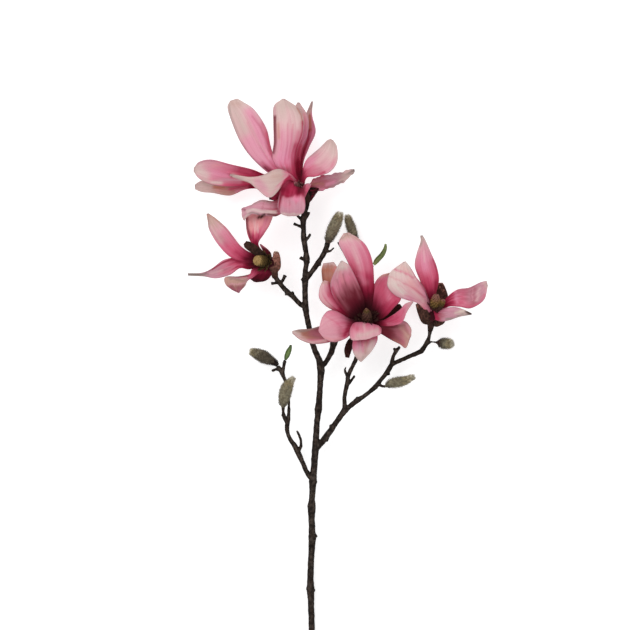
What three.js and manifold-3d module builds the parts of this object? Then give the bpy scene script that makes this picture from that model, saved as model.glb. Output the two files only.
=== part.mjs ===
// A cut branch of saucer magnolia that lies on a flat surface: a forked woody stem with four open
// blooms, six fuzzy winter buds and two small leaves.
//
// The branch is laid out on a sheet, in millimetres: x runs to the right of the sheet's left edge and
// y runs down from its top edge, from the topmost bloom to the stem's cut end. The third number is the
// height above the surface. `spot` turns such a point into the part's own frame, whose origin is on
// the surface, at the middle of the branch, with +Y towards the topmost bloom and +Z up.

import * as THREE from "three";
import { mergeVertices } from "three/addons/utils/BufferGeometryUtils.js";
import Module from "manifold-3d";

const wasm = await Module();
wasm.setup();

const SHEET_CENTRE = { x: 338, y: 379.5 };
const GAP = 0.35; // left between two pieces that touch
const TEPAL_THICKNESS = 1;
const SCALE_THICKNESS = 1.4;
const LEAF_THICKNESS = 0.8;
const TIP_WIDTH = 2.4; // a blade's tip is this blunt where its own shape doesn't say
const STAMEN_RADIUS = 1.7;
const SMOOTHEST = 0.01; // facets that differ by less than this are merged
const LEAST_BODY = 1e-3; // cubic millimetres: a smaller scrap is an artefact of a cut

// ---------------------------------------------------------------------------------- finishes

const FINISHES = {
  bark: { color: 0x2c231c, roughness: 0.85 },
  tepal: { color: 0xd68fa2, roughness: 0.6 },
  heart: { color: 0x2b1812, roughness: 0.7 },
  calyx: { color: 0x4a2b24, roughness: 0.8 },
  bud: { color: 0x7c7766, roughness: 0.9 },
  leaf: { color: 0x64803c, roughness: 0.6 },
};

// ------------------------------------------------------------------------------ shape makers

function spot([x, y, z]) {
  return new THREE.Vector3(x - SHEET_CENTRE.x, SHEET_CENTRE.y - y, z);
}

// A smooth curve through points of the sheet.
function curveOf(points) {
  return new THREE.CatmullRomCurve3(points, false, "catmullrom", 0.5);
}

// A closed mesh as a solid that can be joined and cut.
function solidOf(geometry) {
  const bare = geometry.clone();
  bare.deleteAttribute("normal");
  bare.deleteAttribute("uv");
  const merged = mergeVertices(bare, 1e-3);
  return new wasm.Manifold(
    new wasm.Mesh({
      numProp: 3,
      vertProperties: merged.attributes.position.array,
      triVerts: new Uint32Array(merged.index.array),
    }),
  );
}

function geometryOf(solid) {
  const { vertProperties, triVerts, numProp } = solid.getMesh();
  const shared = new THREE.BufferAttribute(vertProperties, numProp);
  const geometry = new THREE.BufferGeometry().setAttribute("position", shared);
  geometry.setIndex(new THREE.BufferAttribute(triVerts, 1));
  const faceted = geometry.toNonIndexed();
  faceted.computeVertexNormals();
  return faceted;
}

function fused(solids) {
  return solids.reduce((whole, solid) => whole.add(solid));
}

// The largest body of a solid, without the scraps that a cut leaves.
function largest(solid) {
  const bodies = solid.decompose().filter((body) => body.volume() > LEAST_BODY);
  return bodies.reduce((best, body) => (body.volume() > best.volume() ? body : best));
}

// A round limb along a path of [x, y, height, radius], with a ring at each point of the path. `room`
// makes it stouter and longer by that much all round.
function limb(path, sides = 6, room = 0) {
  const steps = path.length - 1;
  const curve = curveOf(path.map(spot));
  const rings = [];
  let side = new THREE.Vector3(0, 0, 1);
  for (let step = 0; step <= steps; step++) {
    const along = step / steps;
    const ahead = curve.getTangent(along);
    if (step === 0 && Math.abs(ahead.z) > 0.9) side.set(1, 0, 0);
    side = side.clone().addScaledVector(ahead, -side.dot(ahead)).normalize();
    const centre = curve.getPoint(along);
    if (step === 0) centre.addScaledVector(ahead, -room);
    if (step === steps) centre.addScaledVector(ahead, room);
    rings.push({ centre, side, other: ahead.clone().cross(side), radius: path[step][3] + room });
  }
  const geometry = new THREE.CylinderGeometry(1, 1, 1, sides, steps);
  const position = geometry.attributes.position;
  for (let i = 0; i < position.count; i++) {
    const ring = rings[Math.round((position.getY(i) + 0.5) * steps)];
    const point = ring.centre.clone();
    point.addScaledVector(ring.side, ring.radius * position.getZ(i));
    point.addScaledVector(ring.other, ring.radius * position.getX(i));
    position.setXYZ(i, point.x, point.y, point.z);
  }
  return solidOf(geometry);
}

// A path of [x, y, radius] whose height runs evenly from `low` to `high`.
function raised(low, high, path) {
  return path.map(([x, y, radius], i) => [
    x,
    y,
    THREE.MathUtils.lerp(low, high, i / (path.length - 1)),
    radius,
  ]);
}

// A thin blade between two edges that run from its root to its tip. Its middle lies `cup` below the
// line between the edges, or above it where cup is negative, and its edges ripple by `wave`. Both
// faces are split into triangles alike. `room` makes it larger by that much all round.
function blade(shape, thickness, columns = 4, room = 0) {
  const { left, right, tip, cup = 0, wave = 0, blunt = TIP_WIDTH } = shape;
  const rows = left.length + 1;
  const end = spot(tip);
  const halfTip = spot(right.at(-1)).sub(spot(left.at(-1))).setLength(blunt / 2);
  const leftEdge = curveOf([...left.map(spot), end.clone().sub(halfTip)]);
  const rightEdge = curveOf([...right.map(spot), end.clone().add(halfTip)]);
  const point = (along, side) => {
    const from = leftEdge.getPoint(along);
    const to = rightEdge.getPoint(along);
    const ahead = leftEdge.getTangent(along).add(rightEdge.getTangent(along)).normalize();
    const up = to.clone().sub(from).cross(ahead).normalize();
    const beyond = room * (Number(along === 1) - Number(along === 0));
    const outward = to.clone().sub(from).setLength(room);
    from.sub(outward).addScaledVector(ahead, beyond);
    to.add(outward).addScaledVector(ahead, beyond);
    const belly = -cup * (1 - side * side) * Math.sin(Math.PI * along);
    const ripple = wave * side * side * side * Math.sin(3 * Math.PI * along) * along;
    return from.lerp(to, (side + 1) / 2).addScaledVector(up, belly + ripple);
  };
  const faces = { front: [], back: [] };
  for (let row = 0; row <= rows; row++) {
    for (let column = 0; column <= columns; column++) {
      const along = row / rows;
      const side = (2 * column) / columns - 1;
      const step = 0.02;
      const before = point(Math.max(0, along - step), side);
      const after = point(Math.min(1, along + step), side);
      const across = point(along, Math.min(1, side + step)).sub(point(along, Math.max(-1, side - step)));
      const normal = across.cross(after.sub(before)).setLength(thickness / 2 + room);
      faces.front.push(point(along, side).add(normal));
      faces.back.push(point(along, side).sub(normal));
    }
  }
  return closedSheet(faces, rows, columns);
}

// The solid between two grids of points that lie face to face.
function closedSheet({ front, back }, rows, columns) {
  const wide = columns + 1;
  const triangles = [];
  for (let row = 0; row < rows; row++) {
    for (let column = 0; column < columns; column++) {
      const a = row * wide + column;
      const [b, c, d] = [a + 1, a + wide, a + wide + 1];
      triangles.push([front[a], front[b], front[c]], [front[b], front[d], front[c]]);
      triangles.push([back[a], back[c], back[b]], [back[b], back[c], back[d]]);
    }
  }
  const rim = [];
  for (let column = 0; column < columns; column++) rim.push(column);
  for (let row = 0; row < rows; row++) rim.push(row * wide + columns);
  for (let column = columns; column > 0; column--) rim.push(rows * wide + column);
  for (let row = rows; row > 0; row--) rim.push(row * wide);
  rim.forEach((from, i) => {
    const to = rim[(i + 1) % rim.length];
    triangles.push([front[to], front[from], back[from]], [front[to], back[from], back[to]]);
  });
  const geometry = new THREE.BufferGeometry().setFromPoints(triangles.flat());
  return solidOf(geometry);
}

// A ball at [x, y, height] with the radius given last, or larger by `room`.
function ball([x, y, z, radius], room = 0) {
  const geometry = new THREE.SphereGeometry(radius + room, 8, 6);
  const { x: across, y: up, z: height } = spot([x, y, z]);
  return solidOf(geometry.translate(across, up, height));
}

// ---------------------------------------------------------------------------------- the wood

const STEM = [
  [311.8, 661, 2.6, 3.1], [311.8, 640, 2.6, 3.1], [311.7, 625, 4.2, 3.1], [311, 602, 6.3, 3.1],
  [310.8, 594, 6.9, 3.6], [310.6, 587, 7.4, 3.9], [310.4, 579, 8.1, 3.2], [311.1, 560, 10, 3],
  [311.8, 546, 11, 3.4], [312.3, 538, 11.6, 3.9], [312, 529, 12.3, 3.3], [311.6, 519, 13.1, 3.2],
  [311.5, 512, 13.6, 3.7], [311.6, 506, 14.1, 4.2], [312, 499, 14.7, 3], [312.5, 489, 15.5, 3.2],
  [312.8, 482, 16, 3.9], [313.9, 470, 17, 3.2], [314.8, 456, 18.2, 3.4], [315.6, 447, 18.9, 3.6],
  [316.2, 435, 19.8, 3.2], [316.7, 425, 20.6, 2.8], [317.8, 415, 21.4, 3], [318.3, 409.5, 21.9, 3.9],
  [319, 402, 22.5, 3.1], [319.8, 390, 23.5, 2.9], [320.5, 380, 24.4, 3.1], [321, 371, 25.2, 3.8],
  [320.6, 365, 25.7, 3.8], [318.6, 358.5, 26.2, 3], [315, 350.5, 26.9, 2.8], [312, 342, 27.6, 2.8],
  [309.2, 328, 28.7, 2.7], [306.9, 317, 29.7, 2.7], [305.6, 309, 30.4, 3.2], [305.2, 298, 31.3, 2.8],
  [305, 288, 32.1, 2.8], [305.2, 280.5, 32.7, 3.4], [305.4, 271, 33.5, 2.5], [306.4, 264, 34, 2.5],
  [306.6, 259, 34.4, 3.3], [306.1, 252.5, 35, 2.5], [304.6, 244, 35.7, 2.8], [303.6, 236, 36.3, 2.9],
  [303.5, 230, 36.8, 2.4], [303.2, 222, 37.5, 2.9], [304.3, 213, 38.6, 2.6], [306.4, 206, 39.4, 2.8],
];

const TWIGS = {
  right_branch: raised(18.6, 22, [
    [315.6, 450, 2.6], [321, 443.3, 3.2], [326, 436.8, 3.5], [331, 430, 3.2], [336.5, 421.8, 2.9],
    [341, 415.6, 3], [344.8, 410, 3.6], [350, 406.2, 2.5], [356.5, 401, 3], [363, 397, 2.3],
    [369.5, 391.9, 2.2], [375.5, 386.8, 2.8], [380.5, 380.3, 2.2], [385, 374.8, 2.3], [388.3, 370.2, 2.8],
    [391.6, 364.6, 2.5], [396.5, 362.2, 2.3], [408.5, 356.8, 2.2], [416.5, 353.5, 2.5], [421.5, 351, 2.8],
    [424.2, 347.3, 2.5], [427, 342.5, 2.6], [428.7, 338.5, 1.9], [429.3, 335.5, 1.6], [429.8, 332.5, 2],
    [430.2, 330, 2.4],
  ]),
  forked_prong: raised(22, 26, [
    [391.6, 363, 2.3], [393.6, 355.5, 1.9], [396, 351.2, 2.1], [399.8, 346.6, 1.4],
  ]),
  centre_bloom_twig: raised(20, 30, [
    [344.8, 410, 2.4], [344.5, 402, 2.3], [344.6, 397, 2.2], [345.6, 390.5, 2.2], [346.7, 385.5, 2.5],
    [347.7, 380, 2.2], [348.2, 375.5, 2.5], [350, 371.5, 2.2], [352.5, 366.5, 2], [355.4, 360.8, 2.2],
    [358.6, 351, 2.5],
  ]),
  hidden_twig: raised(25.5, 14, [
    [321.5, 366, 2.7], [324.5, 364, 2.6], [327, 360.5, 2.5], [329.3, 356.5, 2.6], [331.6, 352, 3.1],
    [332.6, 348, 3], [333.6, 343.5, 3.8], [336, 337, 3], [340, 325, 2.4], [345, 300, 2.2],
    [350, 275, 2.2], [353, 258, 2.3], [355, 241, 2.6],
  ]),
  leaf_right_twig: raised(16.6, 17, [[347, 292, 1.8], [358, 281, 1.5], [367, 272, 1.3], [373, 265.5, 1.3]]),
  dark_prong: raised(15, 15, [[351, 264, 1.8], [346.4, 256, 1.5], [342, 249, 1.3], [337.8, 242.2, 0.9]]),
  left_bloom_twig: raised(30.8, 36, [
    [304.5, 306.5, 2.7], [300.5, 304.4, 2.7], [296.5, 300.5, 2.5], [292.5, 296, 2.7], [288.5, 293, 2.8],
    [285, 289.5, 2.7], [281, 284.8, 2.4], [278, 281, 2.5], [275.8, 277.6, 2.5],
  ]),
  upper_right_twig: raised(33, 34, [
    [306.5, 279, 2.5], [310, 274.3, 2.6], [313, 270.3, 2.6], [316, 266, 2.8], [318.4, 262.3, 2.9],
    [321, 258.3, 2.5], [323.6, 254.3, 2.8], [325.3, 250.3, 2.7], [326.8, 246.5, 2.8], [327.5, 242.6, 3],
  ]),
  left_branch: raised(16.4, 20, [
    [312.8, 480, 2.7], [309, 475.5, 2.7], [306, 470.5, 2.6], [303.8, 465.5, 2.5], [301.7, 460.5, 2.6],
    [299.4, 455.5, 3.1], [297.2, 450.5, 3.1], [294.6, 445.5, 2.8], [291, 440.5, 2.3], [288.3, 435.5, 2.1],
    [287.1, 430.5, 2.1], [287, 425.5, 2.6], [288.6, 419, 2], [288.8, 411, 1.7], [289, 405, 1.4],
    [288, 392, 1.5], [285.8, 382, 1.7], [284.4, 378.5, 1.9], [282.7, 374.5, 2.3], [280.5, 370, 2.3],
    [277.6, 366.4, 2.1],
  ]),
  bud_4_twig: raised(20, 27.5, [
    [287.3, 424, 2.1], [284.6, 418, 2.2], [283.1, 412.5, 1.5], [283.1, 407, 1.8],
  ]),
  leaf_left_twig: raised(20, 21, [
    [283, 373.5, 1.7], [283.6, 367, 1.6], [284.4, 362.8, 1.8], [285.2, 360.6, 1.6],
  ]),
};

// Short side shoots, leaf scars and swellings, each a path of [x, y, height, radius].
const SPURS = [
  [[312, 537.5, 11.6, 2.6], [316.6, 534.8, 12.6, 2.3]],
  [[310.5, 588.8, 7.4, 2.4], [306.4, 588, 8, 2.3]],
  [[312, 590, 7.4, 2.4], [314.8, 590.8, 8.2, 1.6]],
  [[313, 483, 16, 2.4], [316.6, 480.8, 16.8, 1.8]],
  [[304.8, 260, 34.4, 1.6], [302, 258.6, 34.8, 1.8], [300.2, 257.2, 35, 2.2]],
  [[305, 241.5, 36, 1.5], [308.4, 237.6, 37, 1.5], [310.4, 234, 38, 1.2]],
  [[303, 227.5, 37.3, 1.9], [298, 225.4, 38, 1.5], [293.6, 223.7, 38.5, 1.7]],
  [[304, 221, 38, 1.8], [307, 216.5, 39, 1.6], [309.4, 212, 40, 1.3]],
  [[303, 222, 38, 1.9], [299.8, 218, 39, 1.6], [297.2, 215.2, 39.5, 1.4]],
  [[304.5, 280.5, 32.7, 2.4], [301.4, 278.6, 33, 1.5]],
  [[307, 262, 34.2, 2.4], [309.6, 261.4, 34.8, 1.4]],
  [[318, 263.5, 33.8, 2], [320.8, 265.3, 34, 1.3]],
  [[326, 251.5, 34, 1.8], [330.5, 251, 34.8, 1.3], [334, 247.8, 35.6, 0.9]],
  [[324.5, 252.5, 33.8, 2], [325.4, 254.6, 34, 1.4]],
  [[292, 295, 33.2, 2.2], [293, 291.6, 33.8, 1.3]],
  [[286.5, 291.5, 34, 2.4], [286.8, 295.2, 34.2, 1.6]],
  [[280.5, 283.5, 35, 1.8], [283.4, 279, 35.5, 1.7], [285.2, 275.2, 36, 2.1]],
  [[279, 282, 35, 1.9], [274.5, 283.2, 35, 1.5], [271.2, 283.6, 35, 2]],
  [[298.6, 453, 17.6, 2.6], [296.6, 453.4, 17.9, 1.8]],
  [
    [298, 452, 17.6, 2], [301, 446, 18.6, 1.7], [300.8, 439.5, 20, 1.5], [298.8, 434.5, 21, 1.4],
    [297, 430.6, 22, 0.9],
  ],
  [[286, 418, 20.5, 1.9], [282, 414.4, 22.5, 1.5]],
  [[280.4, 369.6, 19.8, 1.6], [275.5, 369.4, 20, 1.4], [272, 371, 20, 1.6]],
  [[347.8, 377, 23.5, 2], [345.6, 372.6, 24, 1.6], [344.8, 369.5, 24.3, 1.2], [346, 367, 24.6, 0.8]],
  [[348.2, 384, 22.5, 1.9], [351.6, 380, 23.5, 1.5], [354.8, 375.6, 24.5, 1.1]],
  [[345.4, 410.4, 20, 2.4], [347.4, 412.2, 20, 1.5]],
  [[357, 400.2, 20, 2.3], [357.6, 396.8, 20.5, 1.4]],
  [[327, 437, 19.2, 2.4], [326.8, 441.6, 19.2, 1.5]],
  [[331, 428, 19.4, 2.3], [330.6, 424.6, 19.8, 1.3]],
  [[388, 370.5, 21, 2], [388.9, 375.2, 21, 1.4]],
  [[395.6, 352, 25, 1.8], [393.8, 348, 26.2, 1.5]],
  [[379, 384.5, 20.8, 1.7], [382, 386.2, 22, 1.3], [385.6, 386.5, 23, 1.4]],
  [[427, 343.5, 22, 1.7], [431.6, 341.8, 23, 1], [436.4, 342.4, 24, 1.2]],
];

function branch(room = 0) {
  const twigs = Object.values(TWIGS).map((path) => limb(path, 6, room));
  const spurs = SPURS.map((path) => limb(path, 4, room));
  return fused([limb(STEM, 8, room), ...twigs, ...spurs]);
}

// -------------------------------------------------------------------------------- the blooms

// Each bloom has a receptacle, the ball that its tepals grow from; a neck that joins it to its twig;
// dark scales of the opened bud, on the neck; and a heart of stamens round a cone.
// A blade's left and right are as seen from above when looking from its root to its tip.
const TOP_BLOOM = {
  receptacle: [300, 188, 43, 6],
  neck: [[306.3, 207, 39.3, 2.8], [306.8, 200, 40.3, 3.2], [305.5, 194.5, 41.2, 3.8], [302, 190, 42.4, 4]],
  scales: [
    {
      left: [[304, 196, 41], [306, 203, 39], [306.5, 206, 38.5]],
      right: [[303, 190, 42], [311, 187.5, 40], [319, 188.5, 38]],
      tip: [311.5, 197.5, 37],
    },
    {
      left: [[305, 200, 39.5], [292, 205, 40], [279, 202, 43]],
      right: [[304, 195, 39.5], [290, 198, 40], [278, 194.5, 43]],
      tip: [269, 197, 46],
    },
  ],
  heart: {
    cone: [[299, 188, 48.5, 3.6], [296.8, 185, 56, 2.8], [295, 182.5, 61, 1.4]],
    stamens: { count: 12, length: 11, spread: 0.55 },
  },
  tepals: {
    tall_left: {
      left: [
        [298, 188, 43], [281, 180.5, 50], [266, 171, 56], [250, 155.5, 61], [239, 139, 63],
        [230.5, 118, 62], [227.6, 107, 61],
      ],
      right: [
        [301, 184, 44], [287, 172, 50], [277, 163, 52], [271, 147, 54], [266.2, 128, 57],
        [254.5, 110, 59], [243, 101.8, 59],
      ],
      tip: [233.6, 100, 58],
      cup: -4,
      blunt: 8,
    },
    tall_middle: {
      left: [
        [297, 188, 44], [284, 176, 52], [273, 160, 58], [274, 142, 63], [273.5, 122, 64],
        [274, 106, 62],
      ],
      right: [
        [303, 186, 44], [296, 173, 50], [297, 152, 55], [303, 134, 59], [303.5, 118, 60],
        [297, 107, 60],
      ],
      tip: [283.5, 98.8, 60],
      cup: -5,
    },
    behind_middle: {
      left: [[298, 187, 42], [293, 170, 37], [290, 150, 35], [289, 130, 35], [291, 114, 37]],
      right: [[303, 185, 42], [300, 165, 39], [301.5, 150, 39], [307.5, 135, 39], [308, 117, 41]],
      tip: [298.5, 102.5, 42],
      cup: 3,
    },
    hooked: {
      left: [[299, 187, 40], [296, 168, 31], [297, 150, 26], [300, 132, 24], [305, 117, 29]],
      right: [[304, 185, 41], [303, 164, 35], [309, 147.5, 31], [315.5, 132, 31], [312, 115, 34]],
      tip: [312, 101.5, 38],
      cup: 3,
    },
    right_round: {
      left: [
        [301, 185, 44], [303, 168, 47], [306.5, 159.5, 50], [314, 152.5, 52], [320.5, 147, 53],
        [326.5, 140.8, 53.5],
      ],
      right: [
        [304, 188, 43], [306.5, 178, 47], [315, 176.8, 51], [329, 172.5, 54], [337, 162, 55],
        [337, 147.5, 55],
      ],
      tip: [331.8, 139.6, 54],
      cup: 3,
      blunt: 3,
    },
    right_ruffled: {
      left: [
        [302, 188, 42], [308.5, 186.5, 41], [313, 179.5, 40], [321, 175.4, 39], [333, 174, 38],
        [344, 172.3, 40],
      ],
      right: [
        [303, 191, 41], [310, 190, 36], [317, 191.4, 33], [326, 189.8, 31], [336.5, 185.6, 30],
        [346, 179.6, 34],
      ],
      tip: [354.5, 169.8, 41],
      cup: 2,
      wave: 1.5,
      blunt: 3,
    },
    left_upper: {
      left: [
        [297, 190, 41], [262, 181, 35], [243, 183, 34], [225, 186, 36], [210, 184, 39],
        [199, 178.5, 42],
      ],
      right: [
        [298, 186, 42], [265, 174.5, 39], [251.5, 169.2, 41], [231, 164.4, 45], [212, 159.6, 48],
        [199.5, 161.6, 47],
      ],
      tip: [193.8, 169.8, 45],
      cup: 2,
      blunt: 4,
    },
    left_lower: {
      left: [
        [298, 192, 40], [262, 189, 28], [246, 189.5, 25], [230, 195.5, 24], [213, 193, 27],
        [202, 192, 31],
      ],
      right: [
        [298, 189, 41], [262, 184, 30], [246, 183, 29], [230, 182.5, 29], [213, 181.5, 31],
        [201, 181, 34],
      ],
      tip: [195, 187, 34],
      cup: 3,
      blunt: 5,
    },
    folded_over: {
      left: [
        [299, 189, 46], [288, 180, 66], [271, 197.5, 76], [257.5, 189.5, 71], [250, 183, 66],
        [240, 179.6, 62],
      ],
      right: [
        [300, 184, 46], [289, 173, 60], [277, 169, 70], [262, 175.3, 71], [251, 177, 67],
        [241, 176, 62],
      ],
      tip: [230, 175, 59],
      cup: -3,
    },
    front_lobe: {
      left: [[303, 188, 45], [304, 192, 52], [305, 199, 62], [305.3, 207, 66], [303, 213, 65]],
      right: [[298, 181, 46], [288, 175.5, 56], [280.5, 190, 62], [277.5, 206, 67], [280.5, 213.5, 66]],
      tip: [291.5, 216, 63],
      cup: -2,
      blunt: 9,
    },
    front_left: {
      left: [
        [300, 193, 43], [290, 206, 52], [277, 216, 61], [263, 215.5, 64], [251, 214.5, 62],
        [246, 218.5, 60],
      ],
      right: [
        [297, 190, 44], [287, 197, 54], [273, 202, 60], [261, 199.8, 62], [251, 204.8, 59],
        [246, 208.6, 58],
      ],
      tip: [241.8, 213.5, 57],
      cup: -2,
      wave: 1.5,
      blunt: 9,
    },
    resting: {
      left: [[297, 188, 40], [285, 168, 37], [276.5, 148, 29], [275.5, 129, 17], [279.5, 113, 6]],
      right: [[303, 187, 40], [301, 168, 37], [300.5, 148, 29], [300, 129, 17], [296, 113, 6]],
      tip: [288, 104.5, 1.2],
      cup: 3,
    },
  },
};

const LEFT_BLOOM = {
  receptacle: [269, 262, 40, 6],
  neck: [[275.4, 278, 36, 2.9], [274, 271.5, 37, 4], [272.5, 265, 38.5, 4.6]],
  scales: [
    {
      left: [[271, 269, 36], [271.5, 262, 43], [273, 256, 46], [273.5, 253, 47]],
      right: [[276, 274, 35], [280.3, 268, 37], [280.6, 260, 39], [279, 253.5, 42]],
      tip: [276.2, 251.2, 45],
      cup: -1.5,
      blunt: 4,
    },
  ],
  heart: {
    cone: [[267, 262, 44.5, 5], [262, 261, 54, 5.2], [257.5, 260.5, 61, 4.6], [256.6, 260.3, 62.5, 2.6]],
    stamens: { count: 12, length: 12, spread: 0.32 },
    lobes: [
      {
        left: [[266, 263, 46], [258, 257, 52], [251, 252.5, 55], [245, 247.8, 57]],
        right: [[268, 259, 46], [264, 252.5, 51], [257, 246, 54], [250.5, 242, 56]],
        tip: [245, 242.6, 57],
        blunt: 4,
      },
    ],
  },
  tepals: {
    upper_left: {
      left: [
        [266, 264, 41], [246, 262, 47], [231, 257.5, 53], [218.5, 245, 57], [209.6, 230.5, 58],
        [207.6, 221, 57],
      ],
      right: [
        [269, 259, 41], [253, 254, 47], [241.6, 246.8, 53], [233.4, 236.8, 56], [226.4, 227.8, 58],
        [216, 218.8, 59],
      ],
      tip: [207.4, 213.6, 57],
      cup: -3,
      blunt: 1.4,
    },
    upright: {
      left: [[266, 260, 40], [254, 247, 45], [248, 236, 48], [246, 224, 48], [247, 212, 46]],
      right: [[270, 258, 40], [258.5, 245, 45], [264, 234, 48], [270, 224, 48], [272.5, 212, 46]],
      tip: [260, 203, 44],
      cup: -3,
    },
    left_tailed: {
      left: [
        [266, 265, 41], [250, 269.5, 42], [240, 268.5, 44], [230, 275, 45], [216, 278.5, 45],
        [203, 276.5, 43],
      ],
      right: [
        [266, 261, 42], [249, 262, 46], [238, 258, 48], [224, 260, 49], [212, 268.5, 47],
        [202, 273, 44],
      ],
      tip: [188, 274.5, 39],
      cup: 2,
    },
    recurved: {
      left: [
        [267, 267, 40], [260, 272.5, 44], [254, 276.5, 46], [250, 279, 47], [247, 282, 48],
        [245.2, 286, 48], [242, 289.6, 47],
      ],
      right: [
        [264, 265, 41], [252.5, 269, 46], [249.8, 274.4, 50], [238, 277, 55], [225.6, 277.4, 55],
        [225.4, 284, 53], [231.5, 289.6, 50],
      ],
      tip: [238.8, 292.6, 45],
      cup: -2,
      blunt: 1.2,
    },
    dark_low: {
      left: [[272, 265, 38], [272.3, 273, 39], [266.5, 280.3, 38]],
      right: [[266, 266, 38], [256, 270, 41], [249.8, 277.5, 41]],
      tip: [255.5, 282, 37],
      blunt: 4,
    },
    sliver: {
      left: [[268, 258, 39], [263.5, 251.5, 42], [260.6, 246.5, 44]],
      right: [[272, 258, 38], [270.8, 252.8, 40], [267, 248.6, 42]],
      tip: [260.4, 244.2, 44],
      blunt: 1.2,
    },
    resting: {
      left: [[268, 265, 37], [250, 261.5, 34], [236, 256.5, 26], [225, 247, 15], [217, 236, 5.5]],
      right: [[271, 260, 37], [256, 254.5, 34], [243, 248.5, 26], [234, 239, 15], [226, 231, 5.5]],
      tip: [216, 226, 1.2],
      cup: 2,
    },
  },
};

const CENTRE_BLOOM = {
  receptacle: [366, 322, 40, 7],
  neck: [[358.8, 350.8, 29.8, 2.5], [361, 340, 33, 3], [363.5, 332, 36, 4.2], [365, 326, 38.4, 4.6]],
  scales: [
    {
      left: [[364, 334, 34], [355.3, 342.5, 38], [351.4, 351, 38]],
      right: [[358, 332, 35], [348, 340, 39], [344.3, 349.5, 39]],
      tip: [347.3, 357.6, 37],
      blunt: 4,
    },
    {
      left: [[364, 326, 36], [376, 317, 34], [387, 309, 38], [395, 304.5, 43]],
      right: [[367, 331, 36], [381, 324, 34], [392, 316, 38], [399, 310.5, 43]],
      tip: [401.5, 306, 44],
    },
  ],
  heart: {
    cone: [[367, 321, 47.5, 5], [367, 318, 53, 5], [366.7, 313, 60, 3.9], [366.4, 308.8, 64, 1.3]],
    stamens: { count: 18, length: 15, spread: 0.95 },
  },
  tepals: {
    tall_back: {
      left: [
        [362, 320, 43], [357, 299, 55], [353.5, 277, 66], [348, 263, 73], [342, 251, 77],
        [338.8, 242, 77],
      ],
      right: [
        [370, 318, 43], [374, 297, 54], [374, 280, 64], [372.5, 262, 72], [367, 247, 76],
        [359, 238.5, 76],
      ],
      tip: [346, 233, 76],
      cup: -4,
      blunt: 5,
    },
    tall_front: {
      left: [[360, 322, 44], [346, 313, 56], [334, 298, 68], [330.5, 284, 77], [335, 271, 83]],
      right: [[366, 318, 45], [364, 299, 61], [359, 285, 72], [353, 272, 79], [349, 265, 83]],
      tip: [341.5, 261, 84],
      cup: 4,
    },
    upper_left: {
      left: [[360, 323, 41], [338, 308, 47], [325, 290, 52], [321.5, 272, 55]],
      right: [[363, 319, 41], [350, 300, 51], [341, 283, 56], [338.5, 270, 58]],
      tip: [328.5, 262.6, 58],
      cup: 3,
      blunt: 11,
    },
    left_round: {
      left: [[360, 325, 42], [340, 314, 52], [326.4, 306.6, 58], [319.2, 298, 61], [319.5, 288.5, 62]],
      right: [[362, 320, 43], [348, 309, 53], [336, 296, 60], [331, 287, 63], [329, 282, 63]],
      tip: [323.4, 281.2, 63],
      cup: -3,
    },
    lower_left: {
      left: [[363, 327, 43], [353, 333, 55], [346, 338.5, 63], [335, 342, 67], [325, 339, 68]],
      right: [[361, 321, 44], [349, 318, 56], [337, 311, 64], [328, 311, 68], [321.5, 319, 69]],
      tip: [319, 331, 67],
      cup: -4,
    },
    far_left: {
      left: [[362, 328, 41], [342, 338, 45], [326, 342.8, 49], [312, 343.6, 51], [300, 339.4, 54]],
      right: [[361, 323, 42], [342, 322, 48], [322, 325.8, 53], [310, 329, 56], [300, 329.6, 58]],
      tip: [292.3, 332.3, 58],
      cup: 3,
    },
    low_lip: {
      left: [[371, 325, 43], [380, 326, 56], [381.5, 331, 63], [379, 335, 65]],
      right: [[363, 326, 43], [353, 323, 55], [349.5, 331, 63], [352, 340, 65]],
      tip: [366, 338.5, 64],
      cup: -2,
    },
    low_pointed: {
      left: [[371, 327, 41], [376.5, 332.5, 47], [377.3, 340.5, 51], [372, 351, 50], [366.5, 357, 47]],
      right: [[364, 328, 41], [355, 335, 48], [352.3, 345, 52], [353.6, 353.5, 50], [357, 358.8, 47]],
      tip: [361.2, 361.6, 45],
      cup: -3,
      blunt: 1.6,
    },
    right_narrow: {
      left: [[371, 321, 42], [383, 320, 52], [391, 316, 57], [400, 309.5, 60], [405, 304, 61]],
      right: [[372, 324, 42], [384, 326, 51], [394, 325.5, 53], [402.5, 322, 55], [407, 312, 59]],
      tip: [413, 301.5, 61],
    },
    right_dusky: {
      left: [[371, 323, 41], [383, 328, 46], [394, 325, 47], [404.5, 321, 47], [411, 328, 46]],
      right: [[370, 328, 40], [382, 334.5, 42], [391, 340, 42], [400, 344.5, 42], [406, 348, 41]],
      tip: [411, 336, 43],
      cup: 2,
    },
    upper_right: {
      left: [[367, 318, 43], [371.5, 304, 51], [371.5, 292, 57], [376, 281, 61], [382, 275, 62]],
      right: [[373, 322, 42], [384, 318, 50], [394, 308, 55], [401, 299, 58], [398, 286, 60]],
      tip: [390, 273.5, 61],
      cup: 3,
    },
  },
};

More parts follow.
